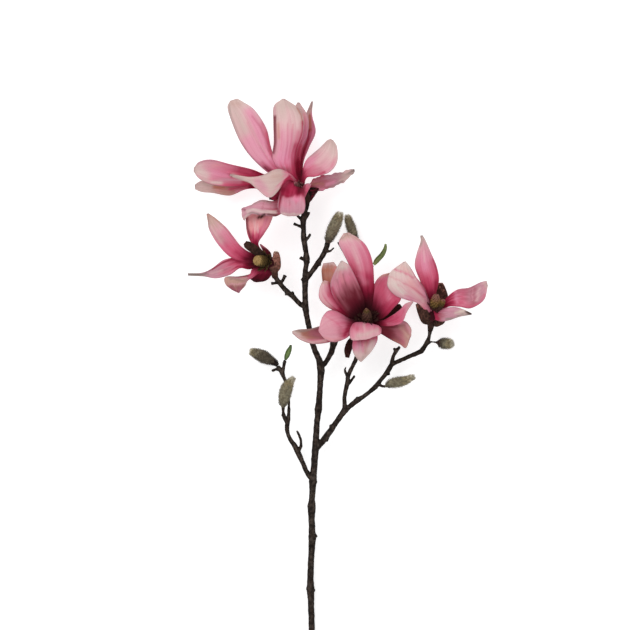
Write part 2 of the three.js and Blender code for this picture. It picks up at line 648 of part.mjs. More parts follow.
const RIGHT_BLOOM = {
  receptacle: [432, 316, 38, 5.5],
  neck: [[430.1, 331, 21.8, 2.4], [430.8, 326, 26, 3.4], [431.5, 321.5, 32, 4], [432, 318, 36, 4.2]],
  scales: [
    {
      left: [[432, 323, 31], [433.5, 308, 33], [434.5, 296, 36], [435.8, 287, 38]],
      right: [[436, 323, 31], [445, 308, 33], [448, 297, 36], [445, 287, 38]],
      tip: [440.2, 282.8, 39],
    },
    {
      left: [[430, 325, 30], [422.4, 322.6, 37], [418, 314, 42]],
      right: [[434, 322, 32], [431, 317, 43], [426, 308, 45]],
      tip: [417.4, 303.2, 45],
      cup: -1,
    },
    {
      left: [[432, 319, 33], [437, 318, 43], [443, 319.5, 43]],
      right: [[432, 325, 30], [436.5, 326.8, 38], [441.5, 325, 41]],
      tip: [445, 320.8, 42],
    },
  ],
  heart: {
    cone: [[433.5, 312, 43.5, 4.2], [434.6, 307, 49, 4.6], [435.8, 301, 55, 4.2], [436.4, 296, 58, 2.2]],
    knobs: [[[436, 311, 46, 2.6], [440.8, 305, 52, 2.9], [443, 301, 55, 2.3], [443.5, 299.6, 56, 1.2]]],
    stamens: { count: 14, length: 13, spread: 0.7 },
  },
  tepals: {
    broad_left: {
      left: [
        [430, 318, 39], [419.5, 304.5, 50], [407, 300.3, 59], [395.5, 295.6, 66], [388, 287, 70],
        [388, 279, 70], [391.2, 271.2, 69],
      ],
      right: [
        [433, 312, 39], [427, 299, 48], [423.5, 290, 55], [420, 283.5, 60], [416.5, 277.5, 64],
        [413, 271.5, 66], [409.5, 266, 67],
      ],
      tip: [404.8, 261.6, 66],
      cup: -4,
      blunt: 1.6,
    },
    upright: {
      left: [
        [431, 315, 39], [427, 297, 45], [420.2, 281, 51], [415, 266, 55], [417, 253, 56],
        [420.5, 242, 55],
      ],
      right: [
        [436, 313, 39], [436, 295, 43], [439, 280, 48], [436.5, 266, 52], [431, 253, 55],
        [426, 241.5, 55],
      ],
      tip: [421.5, 235.5, 54],
      cup: -4,
    },
    right_long: {
      left: [[434, 313, 40], [446.5, 298, 47], [457, 290, 50], [469, 287.8, 50], [480, 282.6, 50]],
      right: [[435, 318, 39], [447, 307.5, 44], [459, 307, 45], [471, 308.4, 46], [484, 300, 47]],
      tip: [487.2, 283.2, 49],
      cup: 3,
      blunt: 5,
    },
    right_low: {
      left: [[435, 314, 41], [444, 309, 51], [455, 307, 55], [464, 310, 55]],
      right: [[433, 319, 40], [441, 321.5, 47], [450, 320, 51], [460, 316.5, 52]],
      tip: [471.3, 314.2, 50],
      cup: -2,
      blunt: 1.4,
    },
    resting: {
      left: [[429, 318, 36], [417, 301.5, 33], [405, 297, 25], [396, 289, 14], [393, 280, 5]],
      right: [[433, 314, 36], [424.5, 297.5, 33], [418.5, 286.5, 25], [412, 277, 14], [404.5, 271, 5]],
      tip: [397, 271, 1.2],
      cup: 3,
    },
  },
};

// Stamens that lean out from the cone's foot in two rings, the inner one shorter, with any knobs
// beside the cone and any dark lobes that rise from its foot.
function heart({ cone, stamens, knobs = [], lobes = [] }) {
  const foot = spot(cone[0]);
  const axis = spot(cone.at(-1)).sub(foot).normalize();
  const turn = new THREE.Quaternion().setFromUnitVectors(new THREE.Vector3(0, 0, 1), axis);
  const { x, y } = SHEET_CENTRE;
  const shafts = [];
  for (let i = 0; i < stamens.count; i++) {
    const angle = i * Math.PI * (3 - Math.sqrt(5));
    const reach = stamens.length * (i % 2 ? 0.72 : 1);
    const lean = stamens.spread * (i % 2 ? 0.6 : 1);
    const stretch = [0, 0.5, 1].map((part) => {
      const out = cone[0][3] * 0.7 + reach * part * Math.sin(lean);
      const up = 1 + reach * part * Math.cos(lean * (0.7 + 0.5 * part));
      const point = new THREE.Vector3(out * Math.cos(angle), out * Math.sin(angle), up);
      point.applyQuaternion(turn).add(foot);
      return [point.x + x, y - point.y, point.z, STAMEN_RADIUS * (1 - 0.4 * part)];
    });
    shafts.push(limb(stretch, 3));
  }
  const sideCones = knobs.map((path) => limb(path, 7));
  const blades = lobes.map((lobe) => blade(lobe, SCALE_THICKNESS, 2));
  return fused([limb(cone, 7), ...sideCones, ...blades, ...shafts]);
}

// -------------------------------------------------------------------------- buds and leaves

// A bud's path runs from its base to its tip as [x, y, height, radius].
const BUDS = {
  bud_1: [
    [327.5, 242.6, 34, 2.8], [328.6, 238.5, 34.5, 4.3], [331, 232.5, 35.2, 5.8], [334.2, 226, 36, 6.2],
    [336.9, 220.3, 36.8, 5.4], [339.2, 215.2, 37.2, 4], [340.4, 212, 37.4, 2.4], [340.8, 210.8, 37.5, 1],
  ],
  bud_2: [
    [355.1, 241.4, 13.9, 2.7], [354.2, 237.5, 13.9, 4.2], [352.3, 231.5, 14, 4.9], [350, 225, 14.2, 4.7],
    [347.9, 219, 14.4, 3.5], [346.9, 216, 14.5, 2.1], [346.5, 214.6, 14.5, 0.9],
  ],
  bud_3: [
    [277.8, 365.6, 20, 2.2], [273.8, 362.6, 20.2, 3.6], [268.5, 359.2, 20.6, 5.2], [262.3, 355.9, 21, 5.8],
    [256.2, 353, 21.4, 4.7], [251.2, 351.2, 21.6, 2.7], [249, 350.6, 21.7, 1.2],
  ],
  bud_4: [
    [283.1, 407.6, 27.4, 1.9], [283, 403, 28.2, 4.1], [284, 397, 29.2, 5.7], [286, 390.5, 30.2, 6.2],
    [288.6, 384.6, 31, 5.2], [291.6, 380.5, 31.6, 3.2], [293.2, 378.6, 32, 1.4],
  ],
  bud_5: [
    [385.2, 386.5, 23, 1.6], [388.5, 384.9, 23.6, 3.2], [392.8, 383.2, 24.2, 4.6], [397.5, 382.5, 24.8, 5],
    [402.5, 382, 25.2, 4.6], [407.5, 380.2, 25.6, 3.3], [412, 378, 25.9, 2], [415.4, 376.4, 26.1, 0.8],
  ],
  bud_6: [
    [436, 342.4, 24, 1.4], [439.5, 342.8, 24.4, 3.5], [444, 343.5, 24.8, 4.8], [449, 343.9, 25.2, 4.9],
    [452.2, 343.7, 25.6, 3.4], [453.8, 343.5, 25.7, 1.5],
  ],
};

const LEAVES = {
  leaf_left: {
    left: [[284.4, 360.2, 21], [284.4, 356, 22], [286.2, 350.5, 23], [288.8, 346.8, 23]],
    right: [[286.6, 360.2, 21], [289.4, 356.4, 22], [291.3, 351.2, 23], [291.8, 347.6, 23]],
    tip: [290.9, 345, 23],
    cup: 1,
  },
  leaf_right: {
    left: [[372.8, 263.6, 17], [375, 258.6, 19], [380, 253.4, 20], [383.4, 248, 20]],
    right: [[375, 265.6, 17], [379.6, 261.4, 18], [384.6, 255.4, 19], [386.8, 249, 19]],
    tip: [385.8, 243.8, 19],
    cup: 1,
  },
};

// ------------------------------------------------------------------------------ the assembly

const surface = solidOf(new THREE.BoxGeometry(900, 900, 60).translate(0, 0, -30));
const roomForBranch = branch(GAP);
const group = new THREE.Group();
group.name = "saucer_magnolia_branch";

// Adds a solid as a named piece, flattened where it rests on the surface.
function addPiece(name, solid, finish) {
  const resting = largest(solid.subtract(surface)).simplify(SMOOTHEST);
  const material = new THREE.MeshStandardMaterial({ ...FINISHES[finish], metalness: 0 });
  const mesh = new THREE.Mesh(geometryOf(resting), material);
  mesh.name = name;
  group.add(mesh);
}

// Adds a piece that grows on the branch, cut clear of it by GAP.
function addGrown(name, solid, finish) {
  addPiece(name, solid.subtract(roomForBranch), finish);
}

// Adds a bloom's three pieces: its tepals, the calyx below them and the heart inside them, which are
// cut clear of the tepals by GAP.
function addBloom(name, bloom) {
  const tepals = (room) => {
    const blades = Object.values(bloom.tepals).map((tepal) => blade(tepal, TEPAL_THICKNESS, 4, room));
    return fused([ball(bloom.receptacle, room), ...blades]);
  };
  const scales = (room) => fused(bloom.scales.map((scale) => blade(scale, SCALE_THICKNESS, 2, room)));
  const roomForTepals = tepals(GAP);
  const calyx = limb(bloom.neck, 8).add(scales(0)).subtract(roomForTepals);
  const stamens = heart(bloom.heart).subtract(roomForTepals).subtract(scales(GAP));
  addGrown(`${name}_tepals`, tepals(0), "tepal");
  addGrown(`${name}_calyx`, calyx, "calyx");
  addGrown(`${name}_heart`, stamens, "heart");
}

addPiece("branch", branch(), "bark");
addBloom("top_bloom", TOP_BLOOM);
addBloom("left_bloom", LEFT_BLOOM);
addBloom("centre_bloom", CENTRE_BLOOM);
addBloom("right_bloom", RIGHT_BLOOM);
for (const [name, path] of Object.entries(BUDS)) addGrown(name, limb(path, 9), "bud");
for (const [name, outline] of Object.entries(LEAVES)) {
  addGrown(name, blade(outline, LEAF_THICKNESS, 2), "leaf");
}

export default group;
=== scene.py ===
"""A cut branch of saucer magnolia that lies on a pale table: the dressed model.

Four open blooms, felted winter buds and two young leaves ride on a forked, knotty twig. Every place
is given on the layout sheet of the branch, in millimetres: x runs right, y runs down and the third
number is the height above the table. Sheet.metres turns such places into the part's own frame.
"""

from __future__ import annotations

import logging
import math
from dataclasses import dataclass
from enum import Enum
from typing import Callable, Sequence

import bpy
import numpy as np
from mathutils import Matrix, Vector, kdtree, noise


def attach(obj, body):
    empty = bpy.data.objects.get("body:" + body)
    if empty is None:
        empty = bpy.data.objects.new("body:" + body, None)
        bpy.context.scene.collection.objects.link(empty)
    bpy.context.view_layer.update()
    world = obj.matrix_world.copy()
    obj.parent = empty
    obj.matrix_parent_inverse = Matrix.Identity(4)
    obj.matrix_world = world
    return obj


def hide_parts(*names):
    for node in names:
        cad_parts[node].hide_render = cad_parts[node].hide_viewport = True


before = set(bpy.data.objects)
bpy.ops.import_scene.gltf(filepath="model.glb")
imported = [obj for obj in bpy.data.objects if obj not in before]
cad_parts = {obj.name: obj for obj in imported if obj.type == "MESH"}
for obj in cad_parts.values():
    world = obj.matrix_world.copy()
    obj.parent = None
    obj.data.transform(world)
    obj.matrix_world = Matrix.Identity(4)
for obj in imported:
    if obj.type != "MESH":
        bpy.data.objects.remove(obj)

log = logging.getLogger("magnolia")

MM = 1000  # millimetres in a metre
Place = tuple[float, float, float]
Mark = tuple[float, float]
Colour = tuple[float, float, float, float]
Piece = bpy.types.Object
Array = np.ndarray
Shaper = Callable[[Array, Array], Array]


class Tone(Enum):
    """Colours of the living parts, and of the shade painted on them, as display red, green and blue."""

    SOOT = (26, 17, 14)
    DARK = (52, 13, 20)
    WINE = (94, 14, 34)
    GARNET = (138, 18, 50)
    MAROON = (112, 38, 50)
    RUBY = (170, 46, 78)
    CERISE = (203, 90, 118)
    PINK = (212, 126, 148)
    LILAC = (176, 102, 116)
    MAUVE = (196, 142, 156)
    ORCHID = (225, 148, 174)
    SALMON = (224, 152, 154)
    ROSE = (214, 154, 166)
    BLUSH = (219, 182, 182)
    CREAM = (214, 193, 187)
    BEIGE = (203, 177, 171)
    PEACH = (190, 150, 138)
    BRICK = (170, 114, 100)
    CLAY = (192, 128, 106)
    RUSSET = (132, 90, 78)
    DUSK = (146, 84, 92)
    ASH = (150, 134, 128)
    # painted shade for the thin margins of the tepals
    EDGE_SHADE = (132, 104, 112)
    UMBER = (62, 40, 32)
    BRACT = (84, 56, 48)
    OLIVE = (160, 131, 84)
    MOSS = (86, 68, 34)
    HONEY = (120, 91, 50)
    FELT = (136, 129, 107)
    DOWN = (224, 218, 197)
    LEAF = (98, 122, 60)
    FERN = (56, 76, 36)
    STONE = (88, 81, 68)
    SAND = (160, 147, 112)
    SHOOT = (142, 164, 94)

    @property
    def light(self) -> Array:
        """The tone in linear light."""
        parts = np.array(self.value) / 255.0
        return np.where(parts <= 0.04045, parts / 12.92, ((parts + 0.055) / 1.055) ** 2.4)


(SOOT, DARK, WINE, GARNET, MAROON, RUBY, CERISE, PINK, LILAC, MAUVE, ORCHID, SALMON, ROSE, BLUSH,
 CREAM, BEIGE, PEACH, BRICK, CLAY, RUSSET, DUSK, ASH, EDGE_SHADE, UMBER, BRACT, OLIVE, MOSS, HONEY, FELT,
 DOWN, LEAF, FERN, STONE, SAND, SHOOT) = Tone
Ramp = Sequence[tuple[float, Tone]]


class Sheet:
    """The layout sheet of the branch."""

    CENTRE: Mark = (338.0, 379.5)

    @staticmethod
    def metres(places: Array) -> Array:
        """Turns sheet places into the part's frame.

        Args:
            places: rows of x, y and height on the sheet, in millimetres.

        Returns:
            The same points in the part's frame, in metres.
        """
        x, y, z = np.asarray(places, float).T
        return np.column_stack([x - Sheet.CENTRE[0], Sheet.CENTRE[1] - y, z]) / MM

    @staticmethod
    def marks(points: Array) -> Array:
        """Turns points of the part's frame back into x and y on the sheet.

        Args:
            points: rows of x, y and z in metres.

        Returns:
            Rows of x and y on the sheet, in millimetres.
        """
        x, y = points[:, 0] * MM, points[:, 1] * MM
        return np.column_stack([x + Sheet.CENTRE[0], Sheet.CENTRE[1] - y])


# -------------------------------------- curves and fields


def glide(points: Array, along: Array) -> Array:
    """Follows a smooth curve through points.

    Args:
        points: the points that the curve passes, one to a row.
        along: how far along the curve, from 0 to 1.

    Returns:
        The points of the curve.
    """
    spans = len(points) - 1
    padded = np.vstack([2 * points[0] - points[1], points, 2 * points[-1] - points[-2]])
    place = np.clip(along, 0, 1) * spans
    first = np.minimum(place.astype(int), spans - 1)
    part = (place - first)[:, None]
    before, start, end, after = (padded[first + i] for i in range(4))
    bend = 2 * before - 5 * start + 4 * end - after
    twist = 3 * (start - end) + after - before
    return start + 0.5 * part * ((end - before) + part * (bend + part * twist))


def unit(vectors: Array) -> Array:
    """Scales each row to length 1."""
    return vectors / np.maximum(np.linalg.norm(vectors, axis=1, keepdims=True), 1e-12)


def ease(amount: Array) -> Array:
    """Eases an amount from 0 to 1, flat at both ends."""
    held = np.clip(amount, 0, 1)
    return held * held * (3 - 2 * held)


def grain(across: Array, along: Array, seed: int) -> Array:
    """Smooth random values, one for each place.

    Args:
        across: the first coordinate, about one unit for each change.
        along: the second coordinate.
        seed: chooses the pattern.

    Returns:
        Values between -1 and 1.
    """
    size = 64  # cells of the pattern before it repeats
    lattice = np.random.default_rng(seed).uniform(-1, 1, (size, size))
    low_x, low_y = np.floor(across).astype(int), np.floor(along).astype(int)
    part_x, part_y = ease(across - low_x), ease(along - low_y)
    near, far = (
        lattice[low_x % size, y % size] * (1 - part_x) + lattice[(low_x + 1) % size, y % size] * part_x
        for y in (low_y, low_y + 1)
    )
    return near * (1 - part_y) + far * part_y


def reach(path: Sequence[Mark], marks: Array, filled: bool = False) -> Array:
    """Measures how far marks lie from a line on the sheet.

    Args:
        path: the corners of the line; one corner alone is a spot.
        marks: rows of x and y on the sheet.
        filled: whether the line is closed and what it rings counts as touched.

    Returns:
        The distances in millimetres.
    """
    corners = np.array(path, float)
    if len(corners) == 1:
        return np.linalg.norm(marks - corners[0], axis=1)
    if filled:
        corners = np.vstack([corners, corners[:1]])
    nearest = np.full(len(marks), np.inf)
    ringed = np.zeros(len(marks), bool)
    for start, end in zip(corners, corners[1:]):
        run = end - start
        part = np.clip((marks - start) @ run / (run @ run), 0, 1)
        nearest = np.minimum(nearest, np.linalg.norm(marks - start - part[:, None] * run, axis=1))
        spans = (start[1] > marks[:, 1]) != (end[1] > marks[:, 1])
        ahead = (marks[:, 0] - start[0]) * run[1] < (marks[:, 1] - start[1]) * run[0]
        ringed ^= spans & (ahead == (run[1] > 0))
    return np.where(ringed, 0.0, nearest) if filled else nearest


@dataclass(frozen=True)
class Stroke:
    """A soft brush stroke of one tone, along a line or over a filled area of the sheet; strokes lay a
    tepal's own marks and also painted shade and painted highlights.
    """

    tone: Tone
    width: float
    path: tuple[Mark, ...]
    strength: float = 0.5
    filled: bool = False

    FADE = 1.7  # how fast the cover fades past the stroke's middle

    def cover(self, marks: Array) -> Array:
        """How much of each mark the stroke covers, from 0 to 1."""
        far = reach(self.path, marks, self.filled) / self.width
        return self.strength * np.exp(-self.FADE * far * far)


Dab = tuple[Tone | float | tuple[Mark, ...] | bool, ...]


@dataclass(frozen=True)
class Crease:
    """A valley along a line on the sheet, or a ridge where its depth is negative."""

    width: float
    path: tuple[Mark, ...]
    depth: float

    def sink(self, marks: Array) -> Array:
        """How deep the crease is at each mark, in millimetres."""
        return self.depth * ease(1 - reach(self.path, marks) / self.width)


# ------------------------------------------ mesh workshop


class Shop:
    """Makes, shapes and joins meshes with Blender's own operators."""

    @staticmethod
    def only(*pieces: Piece) -> None:
        """Selects these pieces alone and makes the first one active."""
        bpy.ops.object.select_all(action="DESELECT")
        for piece in pieces:
            piece.select_set(True)
        bpy.context.view_layer.objects.active = pieces[0]

    @staticmethod
    def points(piece: Piece) -> Array:
        """Reads a piece's points, one to a row."""
        flat = np.empty(len(piece.data.vertices) * 3, np.float32)
        piece.data.vertices.foreach_get("co", flat)
        return flat.reshape(-1, 3).astype(float)

    @staticmethod
    def place(piece: Piece, points: Array) -> None:
        """Sets a piece's points."""
        piece.data.vertices.foreach_set("co", points.astype(np.float32).ravel())
        piece.data.update()

    @staticmethod
    def grid(name: str, columns: int, rows: int, shaper: Shaper) -> Piece:
        """Adds a flat grid and moves each of its points to where the shaper puts it.

        Args:
            name: the piece's name.
            columns: cells across.
            rows: cells along.
            shaper: gives the point for each pair of shares across and along, from 0 to 1.

        Returns:
            The shaped grid.
        """
        bpy.ops.object.select_all(action="DESELECT")
        bpy.ops.mesh.primitive_grid_add(x_subdivisions=columns, y_subdivisions=rows, size=1)
        piece = bpy.context.active_object
        piece.name = piece.data.name = name
        flat = Shop.points(piece)
        Shop.place(piece, shaper(flat[:, 0] + 0.5, flat[:, 1] + 0.5))
        return piece

    @staticmethod
    def weld(piece: Piece, distance: float = 2e-6) -> None:
        """Merges the points of a seam or a pole and turns all faces outwards.

        Args:
            piece: the mesh to close.
            distance: how near points are merged, in metres.
        """
        Shop.only(piece)
        bpy.ops.object.mode_set(mode="EDIT")
        bpy.ops.mesh.select_all(action="SELECT")
        bpy.ops.mesh.remove_doubles(threshold=distance)
        bpy.ops.mesh.normals_make_consistent(inside=False)
        bpy.ops.object.mode_set(mode="OBJECT")

    @staticmethod
    def finish(piece: Piece, kind: str, **settings: object) -> None:
        """Adds a modifier and applies it.

        Args:
            piece: the piece to change.
            kind: the modifier's type.
            settings: the modifier's own options.
        """
        Shop.only(piece)
        modifier = piece.modifiers.new(kind.title(), kind)
        for key, value in settings.items():
            setattr(modifier, key, value)
        bpy.ops.object.modifier_apply(modifier=modifier.name)

    @staticmethod
    def join(name: str, pieces: Sequence[Piece]) -> Piece:
        """Joins pieces and shades the result smooth.

        Args:
            name: the new name.
            pieces: the pieces to join.

        Returns:
            The joined piece.
        """
        Shop.only(*pieces)
        if len(pieces) > 1:
            bpy.ops.object.join()
        whole = bpy.context.active_object
        whole.name = whole.data.name = name
        bpy.ops.object.shade_smooth()
        return whole

    @staticmethod
    def corners(piece: Piece) -> tuple[Array, Array]:
        """Reads the map of a piece.

        Args:
            piece: a mesh with a UV map.

        Returns:
            The share across and the share along, one value for each face corner.
        """
        layer = piece.data.uv_layers.active.uv
        flat = np.empty(len(layer) * 2, np.float32)
        layer.foreach_get("vector", flat)
        return flat[0::2].astype(float), flat[1::2].astype(float)

    @staticmethod
    def corner_points(piece: Piece) -> Array:
        """Reads the index of the point at each face corner."""
        index = np.empty(len(piece.data.loops), np.int32)
        piece.data.loops.foreach_get("vertex_index", index)
        return index

    @staticmethod
    def paint(piece: Piece, colours: Array, strain: float = 0.0) -> None:
        """Stores a tint for each face corner, and the piece's own strain number.

        Args:
            piece: the mesh to paint.
            colours: one row of linear red, green and blue for each face corner.
            strain: a number that sets this piece's fine pattern apart from its neighbours'.
        """
        tint = piece.data.color_attributes.new("tint", "FLOAT_COLOR", "CORNER")
        full = np.column_stack([np.clip(colours, 0, 1), np.ones(len(colours))])
        tint.data.foreach_set("color", full.astype(np.float32).ravel())
        kind = piece.data.attributes.new("strain", "FLOAT", "POINT")
        kind.data.foreach_set("value", np.full(len(piece.data.vertices), strain, np.float32))

    @staticmethod
    def repeat(name: str, unit_piece: Piece, moves: Sequence[Array]) -> Piece:
        """Copies one small piece to many places, in a single mesh.

        Args:
            name: the name of the whole.
            unit_piece: the piece to repeat, which is removed.
            moves: one 3 by 4 matrix for each copy.

        Returns:
            The copies as one piece, with the unit's map.
        """
        points = Shop.points(unit_piece)
        faces = [tuple(face.vertices) for face in unit_piece.data.polygons]
        across, along = Shop.corners(unit_piece)
        homogeneous = np.column_stack([points, np.ones(len(points))])
        placed = [homogeneous @ move.T for move in moves]
        shift = len(points)
        shells = [tuple(i + shift * n for i in face) for n in range(len(moves)) for face in faces]
        mesh = bpy.data.meshes.new(name)
        mesh.from_pydata(np.vstack(placed).tolist(), [], shells)
        layer = mesh.uv_layers.new(name="UVMap")
        uv = np.tile(np.column_stack([across, along]), (len(moves), 1)).astype(np.float32)
        layer.uv.foreach_set("vector", uv.ravel())
        whole = bpy.data.objects.new(name, mesh)
        bpy.context.scene.collection.objects.link(whole)
        bpy.data.objects.remove(unit_piece, do_unlink=True)
        return whole


# ------------------------------------------- plain shapes


@dataclass(frozen=True)
class Blade:
    """A thin blade between two edges that run from its root to its tip.

    left and right are as seen from above, looking from the root to the tip. The middle lies `cup`
    below the line between the edges. The edges ripple by `wave`, flutter by `ruffle`, and turn down
    by `roll` (left, right), all in millimetres.
    """

    left: tuple[Place, ...]
    right: tuple[Place, ...]
    tip: Place
    cup: float = 0.0
    wave: float = 0.0
    ruffle: float = 0.0
    roll: tuple[float, float] = (0.0, 0.0)
    creases: tuple[tuple[float, tuple[Mark, ...], float], ...] = ()
    blunt: float = 2.0
    pleats: float = 0.1

    STEP = 1e-3  # a small share along, for directions
    ROLLED = 0.7  # the share of the half width past which a margin rolls
    UNEVEN = 0.45  # how uneven the blade lies, in millimetres
    MARGIN = 0.45  # the margins' share of the thickness

    def surface(self, across: Array, along: Array) -> Array:
        """Gives the points of the blade's middle surface.

        Args:
            across: shares from the left edge, 0, to the right edge, 1.
            along: shares from the root, 0, to the tip, 1.

        Returns:
            The points in metres.
        """
        left, right = np.array(self.left, float), np.array(self.right, float)
        half_tip = (right[-1] - left[-1]) / np.linalg.norm(right[-1] - left[-1]) * self.blunt / 2
        end = np.array(self.tip, float)
        left, right = np.vstack([left, end - half_tip]), np.vstack([right, end + half_tip])
        start, stop = glide(left, along), glide(right, along)
        ahead = glide(left, along + self.STEP) - glide(left, along - self.STEP)
        ahead = ahead + glide(right, along + self.STEP) - glide(right, along - self.STEP)
        up = unit(np.cross(ahead, stop - start))
        side = 2 * across - 1
        lift = -self.cup * (1 - side**2) * np.sin(np.pi * along)
        lift += self.wave * side**3 * np.sin(3 * np.pi * along) * along
        seed = int(abs(self.tip[0] * 7 + self.tip[1] * 3))
        flutter = np.sin(np.pi * along * 11 + seed) + 0.6 * np.sin(np.pi * along * 23 + side)
        lift += self.ruffle * np.abs(side) ** 3 * flutter * ease(along * 2)
        lift += self.pleats * np.sin(side * 15 + seed) * ease(along * 3) * ease((1 - along) * 3)
        lift += self.UNEVEN * grain(across * 2.5, along * 4, seed) * ease(along * 4)
        bend = np.clip((np.abs(side) - self.ROLLED) / 0.3, 0, 1) ** 2 * ease(along * 4)
        lift -= bend * np.where(side < 0, self.roll[0], self.roll[1])
        flat = start + (stop - start) * across[:, None]
        for crease in self.creases:
            lift -= Crease(*crease).sink(flat[:, :2])
        return Sheet.metres(flat + up * lift[:, None])

    def build(self, name: str, thickness: float, columns: int, rows: int) -> Piece:
        """Makes the blade, thinner at its margins than in its middle.

        Args:
            name: the piece's name.
            thickness: in millimetres, in the middle.
            columns: cells across.
            rows: cells along.

        Returns:
            A closed blade.
        """
        piece = Shop.grid(name, columns, rows, self.surface)
        group = piece.vertex_groups.new(name="body")
        count = (columns + 1) * (rows + 1)
        inner = [i for i in range(count) if 0 < i % (columns + 1) < columns]
        group.add(inner, 1.0, "REPLACE")
        wall = {"thickness": thickness / MM, "offset": 0, "use_rim": True}
        margin = {"vertex_group": "body", "thickness_vertex_group": self.MARGIN}
        Shop.finish(piece, "SOLIDIFY", **wall, **margin)
        piece.vertex_groups.clear()
        return piece


@dataclass(frozen=True)
class Limb:
    """A round limb along a path of x, y, height and radius on the sheet, closed at both ends."""

    path: tuple[tuple[float, float, float, float], ...]
    knobs: float = 0.0
    crowd: float = 0.0

    STATIONS = 200  # places along where the direction is worked out
    INSET = 0.03  # the share at each end that only closes the skin
    CLOSING = 0.06  # the share over which an end rounds off

    def surface(self, across: Array, along: Array) -> Array:
        """Gives the points of the limb's skin.

        Args:
            across: shares of a turn round the limb.
            along: shares from its foot, 0, to its end, 1.

        Returns:
            The points in metres.
        """
        path = np.array(self.path, float)
        stations = np.linspace(0, 1, self.STATIONS)
        centres = Sheet.metres(glide(path[:, :3], stations))
        ahead = unit(np.gradient(centres, axis=0))
        sides = np.empty_like(ahead)
        side = np.array([1.0, 0.0, 0.0]) if abs(ahead[0, 2]) > 0.8 else np.array([0.0, 0.0, 1.0])
        for i, run in enumerate(ahead):
            side = side - run * (side @ run)
            side = side / np.linalg.norm(side)
            sides[i] = side
        others = np.cross(ahead, sides)
        inner = np.clip((along - self.INSET) / (1 - 2 * self.INSET), 0, 1)
        closing = np.sqrt(np.clip(1 - (1 - ease(along / self.CLOSING)) ** 2, 0, 1))
        closing = closing * np.sqrt(np.clip(1 - (1 - ease((1 - along) / self.CLOSING)) ** 2, 0, 1))
        radius = glide(path[:, 3:4], inner)[:, 0] / MM * closing
        turn = 2 * np.pi * across
        radius = radius * (1 + self.knobs * self.bump(across, along))

        def pick(rows: Array) -> Array:
            """Reads rows between the stations."""
            return np.column_stack([np.interp(inner, stations, rows[:, i]) for i in range(3)])

        spread = pick(sides) * np.cos(turn)[:, None] + pick(others) * np.sin(turn)[:, None]
        return pick(centres) + spread * radius[:, None]

    def bump(self, across: Array, along: Array) -> Array:
        """Gives the height of the knobs.

        Args:
            across: shares of a turn round the limb.
            along: shares from its foot to its end.

        Returns:
            Values from -1 between the knobs to 1 on top of them.
        """
        spiral = 2 * np.pi * (self.crowd * across + 3 * along)
        lines = np.sin(spiral) * np.sin(2 * np.pi * (self.crowd * along * 1.2 - 2 * across))
        return np.sign(lines) * np.sqrt(np.abs(lines))

    def build(self, name: str, columns: int, rows: int) -> Piece:
        """Makes the limb.

        Args:
            name: the piece's name.
            columns: cells round it.
            rows: cells along.

        Returns:
            A closed, welded skin.
        """
        piece = Shop.grid(name, columns, rows, self.surface)
        Shop.weld(piece)
        return piece


@dataclass(frozen=True)
class Fleece:
    """Short soft hairs that lie forward over a surface."""

    count: int
    length: float
    thickness: float
    lift: float

    STEP = 2e-3  # a small share, for directions
    SWAY = 0.35  # how far hairs turn aside
    SUNK = 0.08  # the share of a hair below the skin

    def build(self, name: str, surface: Shaper, seed: int, span: tuple[float, float]) -> Piece:
        """Sets the hairs on a surface.

        Args:
            name: the piece's name.
            surface: gives the points of the surface for shares across and along.
            seed: chooses where the hairs stand.
            span: the lowest and highest share along that carries hairs.

        Returns:
            All the hairs as one piece, each with its root's shares as its map.
        """
        bpy.ops.object.select_all(action="DESELECT")
        bpy.ops.mesh.primitive_cone_add(vertices=3, radius1=0.5, radius2=0, depth=1)
        hair = bpy.context.active_object
        dice = np.random.default_rng(seed)
        across, along = dice.uniform(0, 1, self.count), dice.uniform(*span, self.count)
        base = surface(across, along)
        forward = unit(surface(across, along + self.STEP) - surface(across, along - self.STEP))
        around = unit(surface(across + self.STEP, along) - surface(across - self.STEP, along))
        out = unit(np.cross(around, forward))
        sway = dice.uniform(-self.SWAY, self.SWAY, (self.count, 1))
        aim = unit(forward + out * self.lift + around * sway)
        wide = unit(np.cross(aim, out))
        deep = np.cross(wide, aim)
        long = self.length / MM * dice.uniform(0.6, 1.2, (self.count, 1))
        thin = self.thickness / MM
        middle = base + aim * long * (0.5 - self.SUNK)
        moves = [np.column_stack(move) for move in zip(wide * thin, deep * thin, aim * long, middle)]
        down = Shop.repeat(name, hair, moves)
        corners = len(down.data.loops) // self.count
        roots = np.repeat(np.column_stack([across, along]), corners, axis=0).astype(np.float32)
        down.data.uv_layers[0].uv.foreach_set("vector", roots.ravel())
        return down


# ----------------------------------------------- finishes


class Flow:
    """A value that runs between shader nodes, with arithmetic that adds Math nodes."""

    def __init__(self, bench: "Bench", socket: bpy.types.NodeSocket) -> None:
        """Wraps an output socket of a node on the bench."""
        self.bench = bench
        self.socket = socket

    def _sum(self, operation: str, first: object, second: object) -> "Flow":
        """Adds a Math node for one operation."""
        return self.bench.node("Math", {"operation": operation}, first, second)

    def __add__(self, other: object) -> "Flow":
        """Adds."""
        return self._sum("ADD", self, other)

    def __radd__(self, other: object) -> "Flow":
        """Adds to a number."""
        return self._sum("ADD", other, self)

    def __sub__(self, other: object) -> "Flow":
        """Subtracts."""
        return self._sum("SUBTRACT", self, other)

    def __rsub__(self, other: object) -> "Flow":
        """Subtracts from a number."""
        return self._sum("SUBTRACT", other, self)

    def __mul__(self, other: object) -> "Flow":
        """Multiplies."""
        return self._sum("MULTIPLY", self, other)

    def __rmul__(self, other: object) -> "Flow":
        """Multiplies a number."""
        return self._sum("MULTIPLY", other, self)


